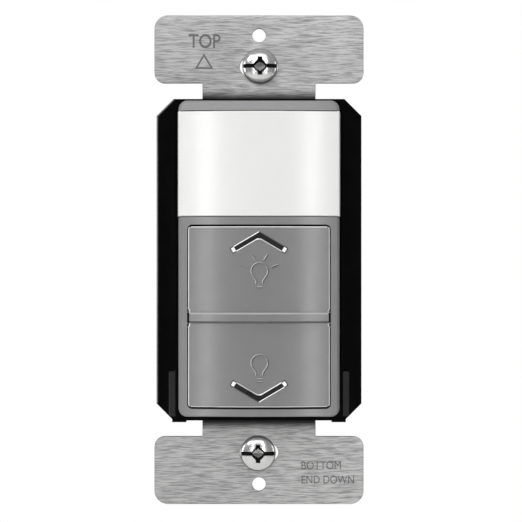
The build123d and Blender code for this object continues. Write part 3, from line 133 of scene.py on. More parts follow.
def brushed_streaks_group():
    """Level brush marks: long thin noise that wanders a little up and down."""
    tree, given, result = new_group(
        "brushed_streaks",
        [
            ("Along", "NodeSocketFloat", 330.0),
            ("Across", "NodeSocketFloat", 8600.0),
            ("Wander", "NodeSocketFloat", 0.00016),
        ],
        [("Streak", "NodeSocketFloat"), ("Blotch", "NodeSocketFloat")],
    )
    link = tree.links.new
    place = add_node(tree, "ShaderNodeTexCoord")
    drift = add_node(tree, "ShaderNodeTexNoise", {"Scale": 300.0, "Detail": 1.0})
    centred = add_node(tree, "ShaderNodeMath", {1: 0.5}, operation="SUBTRACT")
    swing = add_node(tree, "ShaderNodeMath", operation="MULTIPLY")
    lift = add_node(tree, "ShaderNodeCombineXYZ")
    moved = add_node(tree, "ShaderNodeVectorMath", operation="ADD")
    scales = add_node(tree, "ShaderNodeCombineXYZ")
    stretched = add_node(tree, "ShaderNodeVectorMath", operation="MULTIPLY")
    streak = add_node(tree, "ShaderNodeTexNoise", {"Scale": 1.0, "Detail": 3.0, "Roughness": 0.6})
    blotch = add_node(tree, "ShaderNodeTexNoise", {"Scale": 75.0, "Detail": 3.0})
    link(place.outputs["Object"], drift.inputs["Vector"])
    link(drift.outputs["Fac"], centred.inputs[0])
    link(centred.outputs[0], swing.inputs[0])
    link(given.outputs["Wander"], swing.inputs[1])
    link(swing.outputs[0], lift.inputs["Z"])
    link(place.outputs["Object"], moved.inputs[0])
    link(lift.outputs[0], moved.inputs[1])
    link(given.outputs["Along"], scales.inputs["X"])
    link(given.outputs["Across"], scales.inputs["Y"])
    link(given.outputs["Across"], scales.inputs["Z"])
    link(moved.outputs[0], stretched.inputs[0])
    link(scales.outputs[0], stretched.inputs[1])
    link(stretched.outputs[0], streak.inputs["Vector"])
    link(place.outputs["Object"], blotch.inputs["Vector"])
    link(streak.outputs["Fac"], result.inputs["Streak"])
    link(blotch.outputs["Fac"], result.inputs["Blotch"])
    return tree


brushed_streaks = brushed_streaks_group()


def strap_material():
    material, tree, shader = plain_material("brushed_zinc", metallic=0.5, specular=0.3)
    link = tree.links.new
    marks = place_group(tree, brushed_streaks, {})
    both = add_node(tree, "ShaderNodeMath", {1: BLOTCH_SHARE}, operation="MULTIPLY_ADD")
    tone = ranged(tree, (0.42, 0.64), (0.21, 0.5))
    link(marks.outputs["Blotch"], both.inputs[0])
    link(marks.outputs["Streak"], both.inputs[2])
    link(both.outputs[0], tone.inputs["Value"])
    # Painted shade darkens the necks where they pass under the cover, and a painted sheen brightens the ears
    # towards the right.
    place = add_node(tree, "ShaderNodeTexCoord")
    split = add_node(tree, "ShaderNodeSeparateXYZ")
    link(place.outputs["Object"], split.inputs[0])
    # Painted shade: the necks' colour falls towards the cover's top and bottom edges.
    above_cover = (COVER_HALF_HEIGHT, COVER_HALF_HEIGHT + CONTACT_SHADE_TOP)
    below_cover = (-COVER_DROP, -COVER_DROP - CONTACT_SHADE_BOTTOM)
    above = ranged(tree, above_cover, (0.02, 1.0), interpolation_type="SMOOTHSTEP")
    below = ranged(tree, below_cover, (0.04, 1.0), interpolation_type="SMOOTHSTEP")
    # Painted sheen: the ears' colour rises from left to right.
    side = ranged(tree, (-SHEEN_REACH, SHEEN_REACH), (0.92, 1.11))
    light = add_node(tree, "ShaderNodeMath", operation="MAXIMUM")
    sheen_toned = add_node(tree, "ShaderNodeMath", operation="MULTIPLY")
    shaded = add_node(tree, "ShaderNodeMath", operation="MULTIPLY")
    colour = add_node(tree, "ShaderNodeCombineColor")
    link(split.outputs["Z"], above.inputs["Value"])
    link(split.outputs["Z"], below.inputs["Value"])
    link(above.outputs[0], light.inputs[0])
    link(below.outputs[0], light.inputs[1])
    link(split.outputs["X"], side.inputs["Value"])
    link(side.outputs[0], sheen_toned.inputs[0])
    link(tone.outputs[0], sheen_toned.inputs[1])
    link(light.outputs[0], shaded.inputs[0])
    link(sheen_toned.outputs[0], shaded.inputs[1])
    for channel in ("Red", "Green", "Blue"):
        link(shaded.outputs[0], colour.inputs[channel])
    link(colour.outputs[0], shader.inputs["Base Color"])
    rough = ranged(tree, (0.3, 0.7), (0.55, 0.42))
    bump = add_node(tree, "ShaderNodeBump", {"Strength": 0.5, "Distance": BRUSH_DEPTH})
    link(marks.outputs["Streak"], rough.inputs["Value"])
    link(rough.outputs[0], shader.inputs["Roughness"])
    link(marks.outputs["Streak"], bump.inputs["Height"])
    link(bump.outputs[0], shader.inputs["Normal"])
    return material


def broken_edges(shape, edges, width, segments):
    """Rounds some edges of a shape."""
    bmesh.ops.bevel(
        shape,
        geom=edges,
        offset=width,
        offset_type="OFFSET",
        affect="EDGES",
        segments=segments,
        profile=0.5,
        clamp_overlap=True,
        material=-1,
    )


def bevelled(shape, width, segments=2):
    """Breaks the sharp edges of a shape whose flat faces are first made whole."""
    bmesh.ops.dissolve_limit(
        shape, angle_limit=FLAT_ANGLE, verts=shape.verts, edges=shape.edges, delimit={"NORMAL"}
    )
    edges = [e for e in shape.edges if e.is_manifold and e.calc_face_angle(0.0) > SHARP_ANGLE]
    broken_edges(shape, edges, width, segments)
    return shape


def tint_faces(piece, material, chosen):
    """A second finish for the faces that a rule picks by place, in millimetres, and direction."""
    piece.data.materials.append(material)
    index = len(piece.data.materials) - 1
    for polygon in piece.data.polygons:
        if chosen(polygon.center / MM, polygon.normal):
            polygon.material_index = index


strap = finished_piece(
    bevelled(merged_copy("strap"), STRAP_EDGE, segments=3),
    "strap_brushed",
    "base",
    strap_material(),
    "strap_metal",
    "strap",
)

# Lettering of the strap
# Plain orientation marks, struck shallowly into the ears: a word and a triangle at the top
# end, and two short lines at the bottom end.
MARK_DEPTH = 0.012 * MM
LETTER_MERGE = 1e-5
UPRIGHT = Matrix.Rotation(math.radians(90), 4, "X")
# name: text, left and base of the line, its width and height in millimetres, and its boldness
WORDS = {
    "top_word": ("TOP", -15.15, 45.63, 6.85, 3.05, 0.012),
    "bottom_word": ("BOTTOM", 9.15, -45.2, 8.5, 1.75, 0.0),
    "down_word": ("END DOWN", 9.2, -48.28, 11.3, 1.75, 0.0),
}
TRIANGLE_X = -11.86
TRIANGLE_BASE = 41.15
TRIANGLE_WIDTH = 4.0
TRIANGLE_HEIGHT = 3.34
TRIANGLE_STROKE = 0.36


def moulded_grain_group():
    """Fine skin of a moulded or struck surface, as a normal and a roughness that vary."""
    tree, given, result = new_group(
        "moulded_grain",
        [
            ("Scale", "NodeSocketFloat", 4500.0),
            ("Depth", "NodeSocketFloat", 0.000002),
            ("Roughness", "NodeSocketFloat", 0.4),
            ("Spread", "NodeSocketFloat", 0.1),
        ],
        [("Normal", "NodeSocketVector"), ("Roughness", "NodeSocketFloat")],
    )
    link = tree.links.new
    place = add_node(tree, "ShaderNodeTexCoord")
    grain = add_node(tree, "ShaderNodeTexNoise", {"Detail": 2.0, "Roughness": 0.55})
    patch = add_node(tree, "ShaderNodeTexNoise", {"Scale": 260.0, "Detail": 3.0})
    bump = add_node(tree, "ShaderNodeBump", {"Strength": 1.0})
    low = add_node(tree, "ShaderNodeMath", operation="SUBTRACT")
    high = add_node(tree, "ShaderNodeMath", operation="ADD")
    rough = ranged(tree, (0.3, 0.7), (0.0, 1.0))
    link(place.outputs["Object"], grain.inputs["Vector"])
    link(place.outputs["Object"], patch.inputs["Vector"])
    link(given.outputs["Scale"], grain.inputs["Scale"])
    link(grain.outputs["Fac"], bump.inputs["Height"])
    link(given.outputs["Depth"], bump.inputs["Distance"])
    link(bump.outputs[0], result.inputs["Normal"])
    link(given.outputs["Roughness"], low.inputs[0])
    link(given.outputs["Spread"], low.inputs[1])
    link(given.outputs["Roughness"], high.inputs[0])
    link(given.outputs["Spread"], high.inputs[1])
    link(patch.outputs["Fac"], rough.inputs["Value"])
    link(low.outputs[0], rough.inputs["To Min"])
    link(high.outputs[0], rough.inputs["To Max"])
    link(rough.outputs[0], result.inputs["Roughness"])
    return tree


def mottled_tint_group():
    """A colour that is a little uneven, as resin, coating and metal are."""
    tree, given, result = new_group(
        "mottled_tint",
        [
            ("Light", "NodeSocketColor", (0.5, 0.5, 0.5, 1.0)),
            ("Dark", "NodeSocketColor", (0.4, 0.4, 0.4, 1.0)),
            ("Scale", "NodeSocketFloat", 420.0),
        ],
        [("Color", "NodeSocketColor")],
    )
    link = tree.links.new
    place = add_node(tree, "ShaderNodeTexCoord")
    cloud = add_node(tree, "ShaderNodeTexNoise", {"Detail": 4.0, "Roughness": 0.6})
    share = ranged(tree, (0.3, 0.7), (0.0, 1.0))
    mix = add_node(tree, "ShaderNodeMix", data_type="RGBA")
    link(place.outputs["Object"], cloud.inputs["Vector"])
    link(given.outputs["Scale"], cloud.inputs["Scale"])
    link(cloud.outputs["Fac"], share.inputs["Value"])
    link(share.outputs[0], mix.inputs[0])
    link(given.outputs["Dark"], mix.inputs[6])
    link(given.outputs["Light"], mix.inputs[7])
    link(mix.outputs[2], result.inputs["Color"])
    return tree


moulded_grain = moulded_grain_group()
mottled_tint = mottled_tint_group()


def finish(
    name, colour, roughness, metallic=0.0, specular=0.5, uneven=0.08, scale=420.0, grain=4500.0, depth=0.002
):
    """A moulded, coated or plated surface: uneven tint, fine skin and patchy gloss.

    Uneven is the share by which the tint varies, and depth is the skin's depth in millimetres.
    """
    material, tree, shader = plain_material(name, metallic, specular)
    light = tuple(channel * (1 + uneven) for channel in colour) + (1.0,)
    dark = tuple(channel * (1 - uneven) for channel in colour) + (1.0,)
    tint = place_group(tree, mottled_tint, {"Light": light, "Dark": dark, "Scale": scale})
    skin = place_group(
        tree,
        moulded_grain,
        {"Scale": grain, "Depth": depth * MM, "Roughness": roughness, "Spread": roughness * 0.12},
    )
    tree.links.new(tint.outputs["Color"], shader.inputs["Base Color"])
    tree.links.new(skin.outputs["Normal"], shader.inputs["Normal"])
    tree.links.new(skin.outputs["Roughness"], shader.inputs["Roughness"])
    return material


# The marks are darker and duller than the strap: a painted shade standing in for the shade in struck grooves.
struck_metal_shade = finish("struck_metal_shade", (0.13, 0.13, 0.13), 0.5, metallic=0.2, specular=0.3)
sheared_edge_shade = finish("sheared_edge_shade", (0.17, 0.17, 0.17), 0.5, metallic=0.3, specular=0.3)


def on_front_edge(place, facing):
    """The rounded part of the strap's edges that meets its front."""
    return facing.y > STRAP_FACING and place.y < EDGE_BACK


# Painted shade: the darker, duller tint on the rounded front edges stands in for their shade as well as for
# the cut steel.
tint_faces(strap, sheared_edge_shade, on_front_edge)


def struck_mark(shape, name, left, base):
    """Places a flat mark, drawn in X and Y, on the front of the strap and gives it its depth."""
    placed = Matrix.Translation((left * MM, STRAP_FRONT, base * MM))
    bmesh.ops.transform(shape, matrix=placed @ UPRIGHT, verts=shape.verts)
    raised = bmesh.ops.extrude_face_region(shape, geom=shape.faces[:])
    moved = [item for item in raised["geom"] if isinstance(item, bmesh.types.BMVert)]
    bmesh.ops.translate(shape, vec=(0, -MARK_DEPTH, 0), verts=moved)
    bmesh.ops.recalc_face_normals(shape, faces=shape.faces)
    finished_piece(shape, name, "base", struck_metal_shade, "strap_metal")


def struck_word(name, text, left, base, width, height, boldness):
    """One line of lettering, fitted to its width and height."""
    curve = bpy.data.curves.new(name, "FONT")
    curve.body = text
    curve.size = 1.0
    curve.offset = boldness
    flat = bpy.data.objects.new(name + "_text", curve)
    bpy.context.scene.collection.objects.link(flat)
    mesh = bpy.data.meshes.new_from_object(flat.evaluated_get(bpy.context.evaluated_depsgraph_get()))
    bpy.data.objects.remove(flat)
    shape = bmesh.new()
    shape.from_mesh(mesh)
    bmesh.ops.remove_doubles(shape, verts=shape.verts, dist=LETTER_MERGE)
    across = [vertex.co.x for vertex in shape.verts]
    up = [vertex.co.y for vertex in shape.verts]
    fit_across = width * MM / (max(across) - min(across))
    fit_up = height * MM / (max(up) - min(up))
    bmesh.ops.translate(shape, vec=(-min(across), -min(up), 0), verts=shape.verts)
    bmesh.ops.scale(shape, vec=(fit_across, fit_up, 1.0), verts=shape.verts)
    struck_mark(shape, name, left, base)


for name, word in WORDS.items():
    struck_word(name, *word)

# The outline of an upright triangle.
triangle = bmesh.new()
half = TRIANGLE_WIDTH * MM / 2
corners = ((-half, 0, 0), (half, 0, 0), (0, TRIANGLE_HEIGHT * MM, 0))
triangle.faces.new([triangle.verts.new(corner) for corner in corners])
triangle.normal_update()
outline = bmesh.ops.inset_individual(
    triangle, faces=triangle.faces[:], thickness=TRIANGLE_STROKE * MM, use_even_offset=True
)
ring = set(outline["faces"])
bmesh.ops.delete(triangle, geom=[face for face in triangle.faces if face not in ring], context="FACES")
struck_mark(triangle, "top_triangle", TRIANGLE_X, TRIANGLE_BASE)

# Front cover
# A shallow tray of black moulded plastic with cut corners and two feet. It lies on the strap
# and is drawn to the rear housing by four long screws.
COVER_EDGE = 0.12 * MM
COVER_RIM_X = -17.5
COVER_RIM_FOOT = -31.0
COVER_FACING = -0.95
WALL_FACING = 0.5
cover_black = finish("cover_black", (0.0012, 0.0012, 0.0013), 0.34, specular=0.03, uneven=0.2)
# A painted highlight for the cover's left edge.
cover_rim_highlight = finish("cover_rim_highlight", (0.13, 0.13, 0.13), 0.3, specular=0.3, uneven=0.1)


def on_left_rim(place, facing):
    """The left edge of the cover, painted with a highlight for the light it catches."""
    at_left = place.x < COVER_RIM_X and place.z > COVER_RIM_FOOT
    return at_left and COVER_FACING < facing.y < WALL_FACING


tray = finished_piece(
    bevelled(merged_copy("front_cover"), COVER_EDGE),
    "cover_tray",
    "base",
    cover_black,
    "cover_plastic",
    "front_cover",
)
tint_faces(tray, cover_rim_highlight, on_left_rim)

# Face frame
# The grey crowned frame that shows through a wall plate, moulded with its low flange. Pegs
# at its back fix it in the cover, and its side rails hold the trunnions of the keys.
CROWN_RADIUS = 90.0 * MM
CROWN_AXIS = 81.4 * MM
CROWN_REACH = 0.62 * MM
CROWN_LEAN = math.radians(24)
STRIP_FOOT = 31.6 * MM
STRIP_LEAN = math.radians(16)
FLANGE_FRONT = -5.0 * MM
FRONT_FACING = -0.9
RAIL_BACK = -3.0
KEY_GAP_SIDE = 15.75
KEY_GAP_EDGE = 14.8
KEY_GAP_LOW = -32.1
KEY_GAP_HIGH = 7.95
LENS_HEAD = 31.7
LENS_FOOT = 9.1
GAP_REACH = 0.4
GAP_LIT_FACING = -0.4
GAP_END_FACING = 0.3
gap_shade = finish("gap_shade", (0.008, 0.008, 0.008), 0.6, specular=0.1)
face_grey = finish("face_grey", (0.212, 0.212, 0.214), 0.2, uneven=0.025, depth=0.0006)


def crowned_piece(shape, name, body, material, slot, *replaced):
    """A piece whose front takes its shading from the exact curve of the crown.

    On the top strip of the frame, the shading leans back with the strip.
    """
    piece = finished_piece(shape, name, body, material, slot, *replaced)
    mesh = piece.data
    normals = []
    for polygon in mesh.polygons:
        for corner in polygon.vertices:
            place = mesh.vertices[corner].co
            outward = Vector((place.x, place.y - CROWN_AXIS, 0.0))
            proud = outward.length - CROWN_RADIUS
            outward.normalize()
            on_crown = -CROWN_REACH / 3 < proud < CROWN_REACH
            if place.z > STRIP_FOOT and name == "crowned_frame":
                outward.z = math.tan(STRIP_LEAN)
                outward.normalize()
                on_crown = place.y < FLANGE_FRONT
            facing = polygon.normal.angle(outward, math.pi) < CROWN_LEAN
            normals.append(outward if on_crown and facing else Vector((0.0, 0.0, 0.0)))
    mesh.normals_split_custom_set(normals)
    return piece


frame_shape = merged_copy("face_frame")
for vertex in frame_shape.verts:
    over = vertex.co.z - STRIP_FOOT
    if over > 0 and vertex.co.y < FLANGE_FRONT:
        vertex.co.y += over * math.tan(STRIP_LEAN)
frame_piece = crowned_piece(frame_shape, "crowned_frame", "base", face_grey, "face_plastic", "face_frame")


def in_gap(place, facing):
    """The walls and edges of the frame that look into the narrow gaps round keys and lens."""
    if facing.y < FRONT_FACING or place.y > RAIL_BACK:
        return False
    round_keys = abs(place.x) < KEY_GAP_SIDE and KEY_GAP_LOW < place.z < KEY_GAP_HIGH
    lit_edge = place.x >= KEY_GAP_EDGE and facing.y <= GAP_LIT_FACING
    at_lens_end = min(abs(place.z - LENS_HEAD), abs(place.z - LENS_FOOT)) < GAP_REACH
    return (round_keys and not lit_edge) or (at_lens_end and abs(facing.z) > GAP_END_FACING)


tint_faces(frame_piece, gap_shade, in_gap)

# Sensor lens
# A milky white shell as wide as the frame, snapped in above the keys. Its front is smooth,
# and the lenslets that gather warmth on the sensor are moulded inside it.
lens_white = finish("lens_white", (0.765, 0.765, 0.76), 0.2, specular=0.7, uneven=0.008, depth=0.0004)
crowned_piece(merged_copy("sensor_lens"), "milky_lens", "base", lens_white, "lens_plastic", "sensor_lens")

# Bar between the keys
# A crowned bar with two bevels, of the same grey plastic as the keys. Its web stands on the
# cover between them.
BEVEL_FACING = 0.3
key_grey = finish("key_grey", (0.205, 0.205, 0.207), 0.2, uneven=0.025, depth=0.0006)
bevel_shade_grey = finish("bevel_shade_grey", (0.115, 0.115, 0.117), 0.3, specular=0.3, uneven=0.025, depth=0.0006)
bevel_lit_grey = finish("bevel_lit_grey", (0.34, 0.34, 0.345), 0.2, uneven=0.025, depth=0.0006)
bar = crowned_piece(
    merged_copy("divider_bar"), "bevelled_bar", "base", key_grey, "key_plastic", "divider_bar"
)


def on_lower_bevel(place, facing):
    return facing.z < -BEVEL_FACING and facing.y < -BEVEL_FACING


def on_upper_bevel(place, facing):
    return facing.z > BEVEL_FACING and facing.y < -BEVEL_FACING


# Painted shade on the lower bevel and a painted highlight on the upper bevel, as light from above would fall.
tint_faces(bar, bevel_shade_grey, on_lower_bevel)
tint_faces(bar, bevel_lit_grey, on_upper_bevel)

# Keys
# Two crowned shells of grey moulded plastic that tilt beside the bar, brighter above and
# dimmer below. Each carries an embossed lamp, and the upper one has rays round it.
LINE_RADIUS = 0.2 * MM
LINE_HEIGHT = 0.8
LINE_LIT = 0.2
LIT_UP = 0.45
LIT_LEFT = 0.9
LAMP_X = 0.15
LAMP_BASE_HALF = 0.6
KEYS_TOP = 7.26 * MM
KEYS_BOTTOM = -31.42 * MM
EDGE_BAND = 0.3 * MM
EDGE_EASE = 0.2 * MM
EDGE_FACING = -0.4
SHELL_FRONT = -6.0
key_edge_highlight = finish("key_edge_highlight", (0.85, 0.85, 0.85), 0.2, uneven=0.03, depth=0.0006)
lamp_line_lit = finish("lamp_line_lit", (0.42, 0.42, 0.425), 0.2, uneven=0.03, depth=0.0006)
lamp_line_shaded = finish("lamp_line_shaded", (0.075, 0.075, 0.076), 0.5, specular=0.2, uneven=0.1, depth=0.0006)
LAMP_SHAPE = [
    (-0.72, -2.6),
    (-0.76, -2.05),
    (-1.2, -1.32),
    (-1.68, -0.5),
    (-1.66, 0.55),
    (-1.05, 1.4),
    (0.0, 1.75),
    (1.05, 1.4),
    (1.66, 0.55),
    (1.68, -0.5),
    (1.2, -1.32),
    (0.76, -2.05),
    (0.72, -2.6),
]
RAYS = [
    [(0.95, 2.34), (1.67, 3.52)],
    [(-0.95, 2.34), (-1.67, 3.52)],
    [(2.5, 0.82), (3.9, 1.31)],
    [(-2.5, 0.82), (-3.9, 1.31)],
]
UPPER_LAMP = {"z": -2.4, "bases": [-3.42], "rays": RAYS}
LOWER_LAMP = {"z": -21.85, "bases": [-3.42, -3.95], "rays": []}


def to_upper_left(facing):
    """How far a face looks to the left and a little up, toward the light; such faces of the lines are painted
    lit.
    """
    return LIT_UP * facing.z - LIT_LEFT * facing.x


def embossed_lines(name, strokes, body):
    """Thin rounded lines raised on a key, which follow its crown."""
    curve = bpy.data.curves.new(name, "CURVE")
    curve.dimensions = "3D"
    curve.bevel_depth = LINE_RADIUS
    curve.bevel_resolution = 3
    curve.resolution_u = 8
    curve.use_fill_caps = True
    for stroke in strokes:
        line = curve.splines.new("BEZIER")
        line.bezier_points.add(len(stroke) - 1)
        for point, (x, z) in zip(line.bezier_points, stroke):
            point.co = (x * MM, 0.0, z * MM)
            point.handle_left_type = point.handle_right_type = "AUTO"
    drawn = bpy.data.objects.new(name + "_curve", curve)
    bpy.context.scene.collection.objects.link(drawn)
    mesh = bpy.data.meshes.new_from_object(drawn.evaluated_get(bpy.context.evaluated_depsgraph_get()))
    bpy.data.objects.remove(drawn)
    shape = bmesh.new()
    shape.from_mesh(mesh)
    bmesh.ops.remove_doubles(shape, verts=shape.verts, dist=MERGE)
    for vertex in shape.verts:
        surface = CROWN_AXIS - math.sqrt(CROWN_RADIUS**2 - vertex.co.x**2)
        vertex.co.y = surface + vertex.co.y * LINE_HEIGHT
    lines = finished_piece(shape, name, body, key_grey, "key_plastic")
    # Faces towards the upper left are painted lit, and those away from it painted shaded.
    tint_faces(lines, lamp_line_lit, lambda place, facing: to_upper_left(facing) > LINE_LIT)
    tint_faces(lines, lamp_line_shaded, lambda place, facing: to_upper_left(facing) < -LINE_LIT)


def lamp_strokes(lamp):
    """The lines of a lamp mark in its place: the bulb, its rays and the lines of its base."""
    bases = [[(-LAMP_BASE_HALF, base), (LAMP_BASE_HALF, base)] for base in lamp["bases"]]
    lines = [LAMP_SHAPE, *lamp["rays"], *bases]
    return [[(x + LAMP_X, z + lamp["z"]) for x, z in line] for line in lines]


def on_key_edge(place, facing):
    """The chamfers round the front of a key, which carry a painted highlight."""
    return FRONT_FACING < facing.y < EDGE_FACING and place.y < SHELL_FRONT


def on_key_wall(place, facing):
    """The side walls of a key, which stand in the gaps."""
    return EDGE_FACING <= facing.y < WALL_FACING


for name, lamp in (("up", UPPER_LAMP), ("down", LOWER_LAMP)):
    body = f"{name}_key"
    shape = merged_copy(f"{name}_button")
    for vertex in shape.verts:
        if vertex.co.z > KEYS_TOP - EDGE_BAND:
            vertex.co.z -= EDGE_EASE
        if vertex.co.z < KEYS_BOTTOM + EDGE_BAND:
            vertex.co.z += EDGE_EASE
    key = crowned_piece(shape, f"{name}_key_shell", body, key_grey, "key_plastic", f"{name}_button")
    # Painted highlight on the chamfers, and painted shade on the walls in the gaps.
    tint_faces(key, key_edge_highlight, on_key_edge)
    tint_faces(key, gap_shade, on_key_wall)
    embossed_lines(f"{name}_lamp_mark", lamp_strokes(lamp), body)

# Arrow marks
# A bright rim with a white light block at the end of each arm, pressed into the key round a
# light guide of dark smoked plastic.
ARROW_ANGLE = math.radians(30.4)
ARROW_TIPS = {"up": 6.06, "down": -30.22}
ARROW_ARM = 7.19
ARROW_PAD = 0.92
ARROW_THICKNESS = 1.36
RIM_SHOWN = 0.21
PAD_OUTLINE = 0.18
RIM_ROUND = 0.06 * MM
RIM_SHARP = math.radians(60)
TRIM_FRONT = -7.9 * MM
CUT_MERGE = 1e-7
rim_bright = finish("rim_bright", (0.95, 0.95, 0.945), 0.22, uneven=0.02, depth=0.0003)
rim_half_shaded = finish("rim_half_shaded", (0.66, 0.66, 0.66), 0.3, metallic=0.2, uneven=0.05, depth=0.0003)
rim_shaded = finish("rim_shaded", (0.05, 0.05, 0.05), 0.3, metallic=0.2, uneven=0.05, depth=0.0003)
block_white = finish("block_white", (0.9, 0.9, 0.895), 0.3, uneven=0.01, depth=0.0003)
guide_smoke = finish("guide_smoke", (0.01, 0.01, 0.0105), 0.3, specular=0.3, uneven=0.3, scale=700.0)
TRIM_FINISHES = [rim_bright, block_white, gap_shade, rim_shaded, rim_half_shaded]


def trim_finish(offset, sign):
    """The finish of a place on an arrow's trim, from its offset to the tip of the arrow."""
    reach = abs(offset.x) * math.cos(ARROW_ANGLE) - sign * offset.z * math.sin(ARROW_ANGLE)
    level = abs(offset.x) * math.sin(ARROW_ANGLE) + sign * offset.z * math.cos(ARROW_ANGLE)
    beside = level / MM + ARROW_THICKNESS / 2
    from_side = ARROW_THICKNESS / 2 - abs(beside)
    if reach > (ARROW_ARM - ARROW_PAD) * MM:
        in_outline = reach > (ARROW_ARM - PAD_OUTLINE) * MM or from_side < PAD_OUTLINE
        return gap_shade if in_outline else block_white
    if from_side > RIM_SHOWN:
        return gap_shade
    # The rims of the arm that looks away from the upper-left light are painted shaded on one side and half
    # shaded on the other.
    if offset.x * sign > 0:
        return rim_shaded if beside > 0 else rim_half_shaded
    return rim_bright


for name, sign in (("up", 1), ("down", -1)):
    body = f"{name}_key"
    shape = merged_copy(f"{name}_chevron_trim")
    tip = Vector((0.0, 0.0, ARROW_TIPS[name] * MM))
    # Cuts let each finish end on a straight line.
    for side in (-1, 1):
        along = Vector((side * math.cos(ARROW_ANGLE), 0.0, -sign * math.sin(ARROW_ANGLE)))
        outward = Vector((side * math.sin(ARROW_ANGLE), 0.0, sign * math.cos(ARROW_ANGLE)))
        cuts = [(along, ARROW_ARM - ARROW_PAD), (along, ARROW_ARM - PAD_OUTLINE)]
        for width in (RIM_SHOWN, PAD_OUTLINE):
            cuts += [(outward, -width), (outward, width - ARROW_THICKNESS)]
        for direction, distance in cuts:
            bmesh.ops.bisect_plane(
                shape,
                geom=shape.verts[:] + shape.edges[:] + shape.faces[:],
                dist=CUT_MERGE,
                plane_co=tip + direction * distance * MM,
                plane_no=direction,
            )
    top_edges = [
        edge
        for edge in shape.edges
        if edge.is_manifold
        and edge.calc_face_angle(0.0) > RIM_SHARP
        and all(vertex.co.y < TRIM_FRONT for vertex in edge.verts)
    ]
    broken_edges(shape, top_edges, RIM_ROUND, segments=3)
    trim = finished_piece(
        shape, f"{name}_arrow_rim", body, TRIM_FINISHES[0], "arrow_rim", f"{name}_chevron_trim"
    )
    for material in TRIM_FINISHES[1:]:
        trim.data.materials.append(material)
    for polygon in trim.data.polygons:
        polygon.material_index = TRIM_FINISHES.index(trim_finish(polygon.center - tip, sign))
    crowned_piece(
        merged_copy(f"{name}_chevron_window"),
        f"{name}_arrow_guide",
        body,
        guide_smoke,
        "arrow_guide",
        f"{name}_chevron_window",
    )

# Wall-box screws
# Nickel-plated machine screws with a domed head, whose recess takes a flat or a cross-head
# driver. Each hangs in the oblong slot of an ear, and a fibre washer behind the ear keeps it.
HEAD_RADIUS = 3.8
HEAD_HEIGHT = 2.1
DOME_FOOT = 0.3
DOME_STEP = 9
HEAD_CHAMFER = 0.12
SHANK_RADIUS = 1.34
SHANK_LENGTH = 20.0
SHANK_POINT = 0.5
THREAD_RADIUS = 1.74
THREAD_START = -18.6
THREAD_END = -2.7
THREAD_PITCH = 0.79
THREAD_ROOT = 0.05
THREAD_FLANK = 0.42
TURN_STEPS = 24
HEAD_STEPS = 72
CUTTER_RISE = 1.0
HEAD_FLANK = 0.2
HEAD_RIM = 0.1
RIM_SHARE = 0.93
RECESS_START = 0.06
MOUTH_DEPTH = 1.2
PIT_DEPTH = 1.9
ARM_START = 1.0
SLOT_HALF = 0.5
BOX_SCREWS = {"top": (0.2, 41.65), "bottom": (-0.2, -41.65)}
plated = finish(
    "nickel_plate",
    (0.62, 0.62, 0.615),
    0.22,
    metallic=0.75,
    uneven=0.04,
    scale=900.0,
    grain=2500.0,
    depth=0.003,
)
rim_mirror_shade = finish("rim_mirror_shade", (0.22, 0.22, 0.218), 0.35, metallic=0.75, uneven=0.04)
recess_shade = finish("recess_shade", (0.004, 0.004, 0.004), 0.5, specular=0.05)
fibre = finish("washer_fibre", (0.2, 0.045, 0.03), 0.7, specular=0.3, uneven=0.3, scale=1500.0, depth=0.01)


def spun(profile):
    """A solid turned round the Z axis from a profile of (radius, height), in millimetres."""
    shape = bmesh.new()
    points = [shape.verts.new((radius * MM, 0.0, height * MM)) for radius, height in profile]
    edges = [shape.edges.new(pair) for pair in zip(points, points[1:])]
    bmesh.ops.spin(
        shape,
        geom=points + edges,
        cent=(0, 0, 0),
        axis=(0, 0, 1),
        angle=math.tau,
        steps=HEAD_STEPS,
        use_merge=True,
    )
    bmesh.ops.remove_doubles(shape, verts=shape.verts, dist=MERGE)
    bmesh.ops.recalc_face_normals(shape, faces=shape.faces)
    return shape


def add_thread(shape):
    """Adds a helical thread: a small triangle spun upward round the shank."""
    turns = (THREAD_END - THREAD_START) / THREAD_PITCH
    foot = SHANK_RADIUS - THREAD_ROOT
    flank = THREAD_PITCH * THREAD_FLANK
    corners = [(THREAD_RADIUS, THREAD_START), (foot, THREAD_START - flank), (foot, THREAD_START + flank)]
    points = [shape.verts.new((radius * MM, 0.0, height * MM)) for radius, height in corners]
    section = shape.faces.new(points)
    bmesh.ops.spin(
        shape,
        geom=[section, *section.edges, *points],
        cent=(0, 0, 0),
        axis=(0, 0, 1),
        dvec=(0, 0, THREAD_PITCH * MM / TURN_STEPS),
        angle=math.tau * turns,
        steps=int(TURN_STEPS * turns),
    )
    bmesh.ops.recalc_face_normals(shape, faces=shape.faces)


def cut_by(shape, cutters):
    """Cuts closed cutter shapes out of a shape."""
    mesh = bpy.data.meshes.new("being_cut")
    shape.to_mesh(mesh)
    shape.free()
    body = bpy.data.objects.new("being_cut", mesh)
    bpy.context.scene.collection.objects.link(body)
    tools = []
    for index, cutter in enumerate(cutters):
        tool_mesh = bpy.data.meshes.new("cutter")
        cutter.to_mesh(tool_mesh)
        cutter.free()
        tool = bpy.data.objects.new(f"cutter{index}", tool_mesh)
        bpy.context.scene.collection.objects.link(tool)
        cut = body.modifiers.new(f"cut{index}", "BOOLEAN")
        cut.object = tool
        cut.operation = "DIFFERENCE"
        cut.solver = "EXACT"
        tools.append(tool)
    bpy.context.view_layer.update()
    finished = body.evaluated_get(bpy.context.evaluated_depsgraph_get())
    result = bmesh.new()
    result.from_mesh(bpy.data.meshes.new_from_object(finished))
    for leftover in [body, *tools]:
        bpy.data.objects.remove(leftover)
    return result


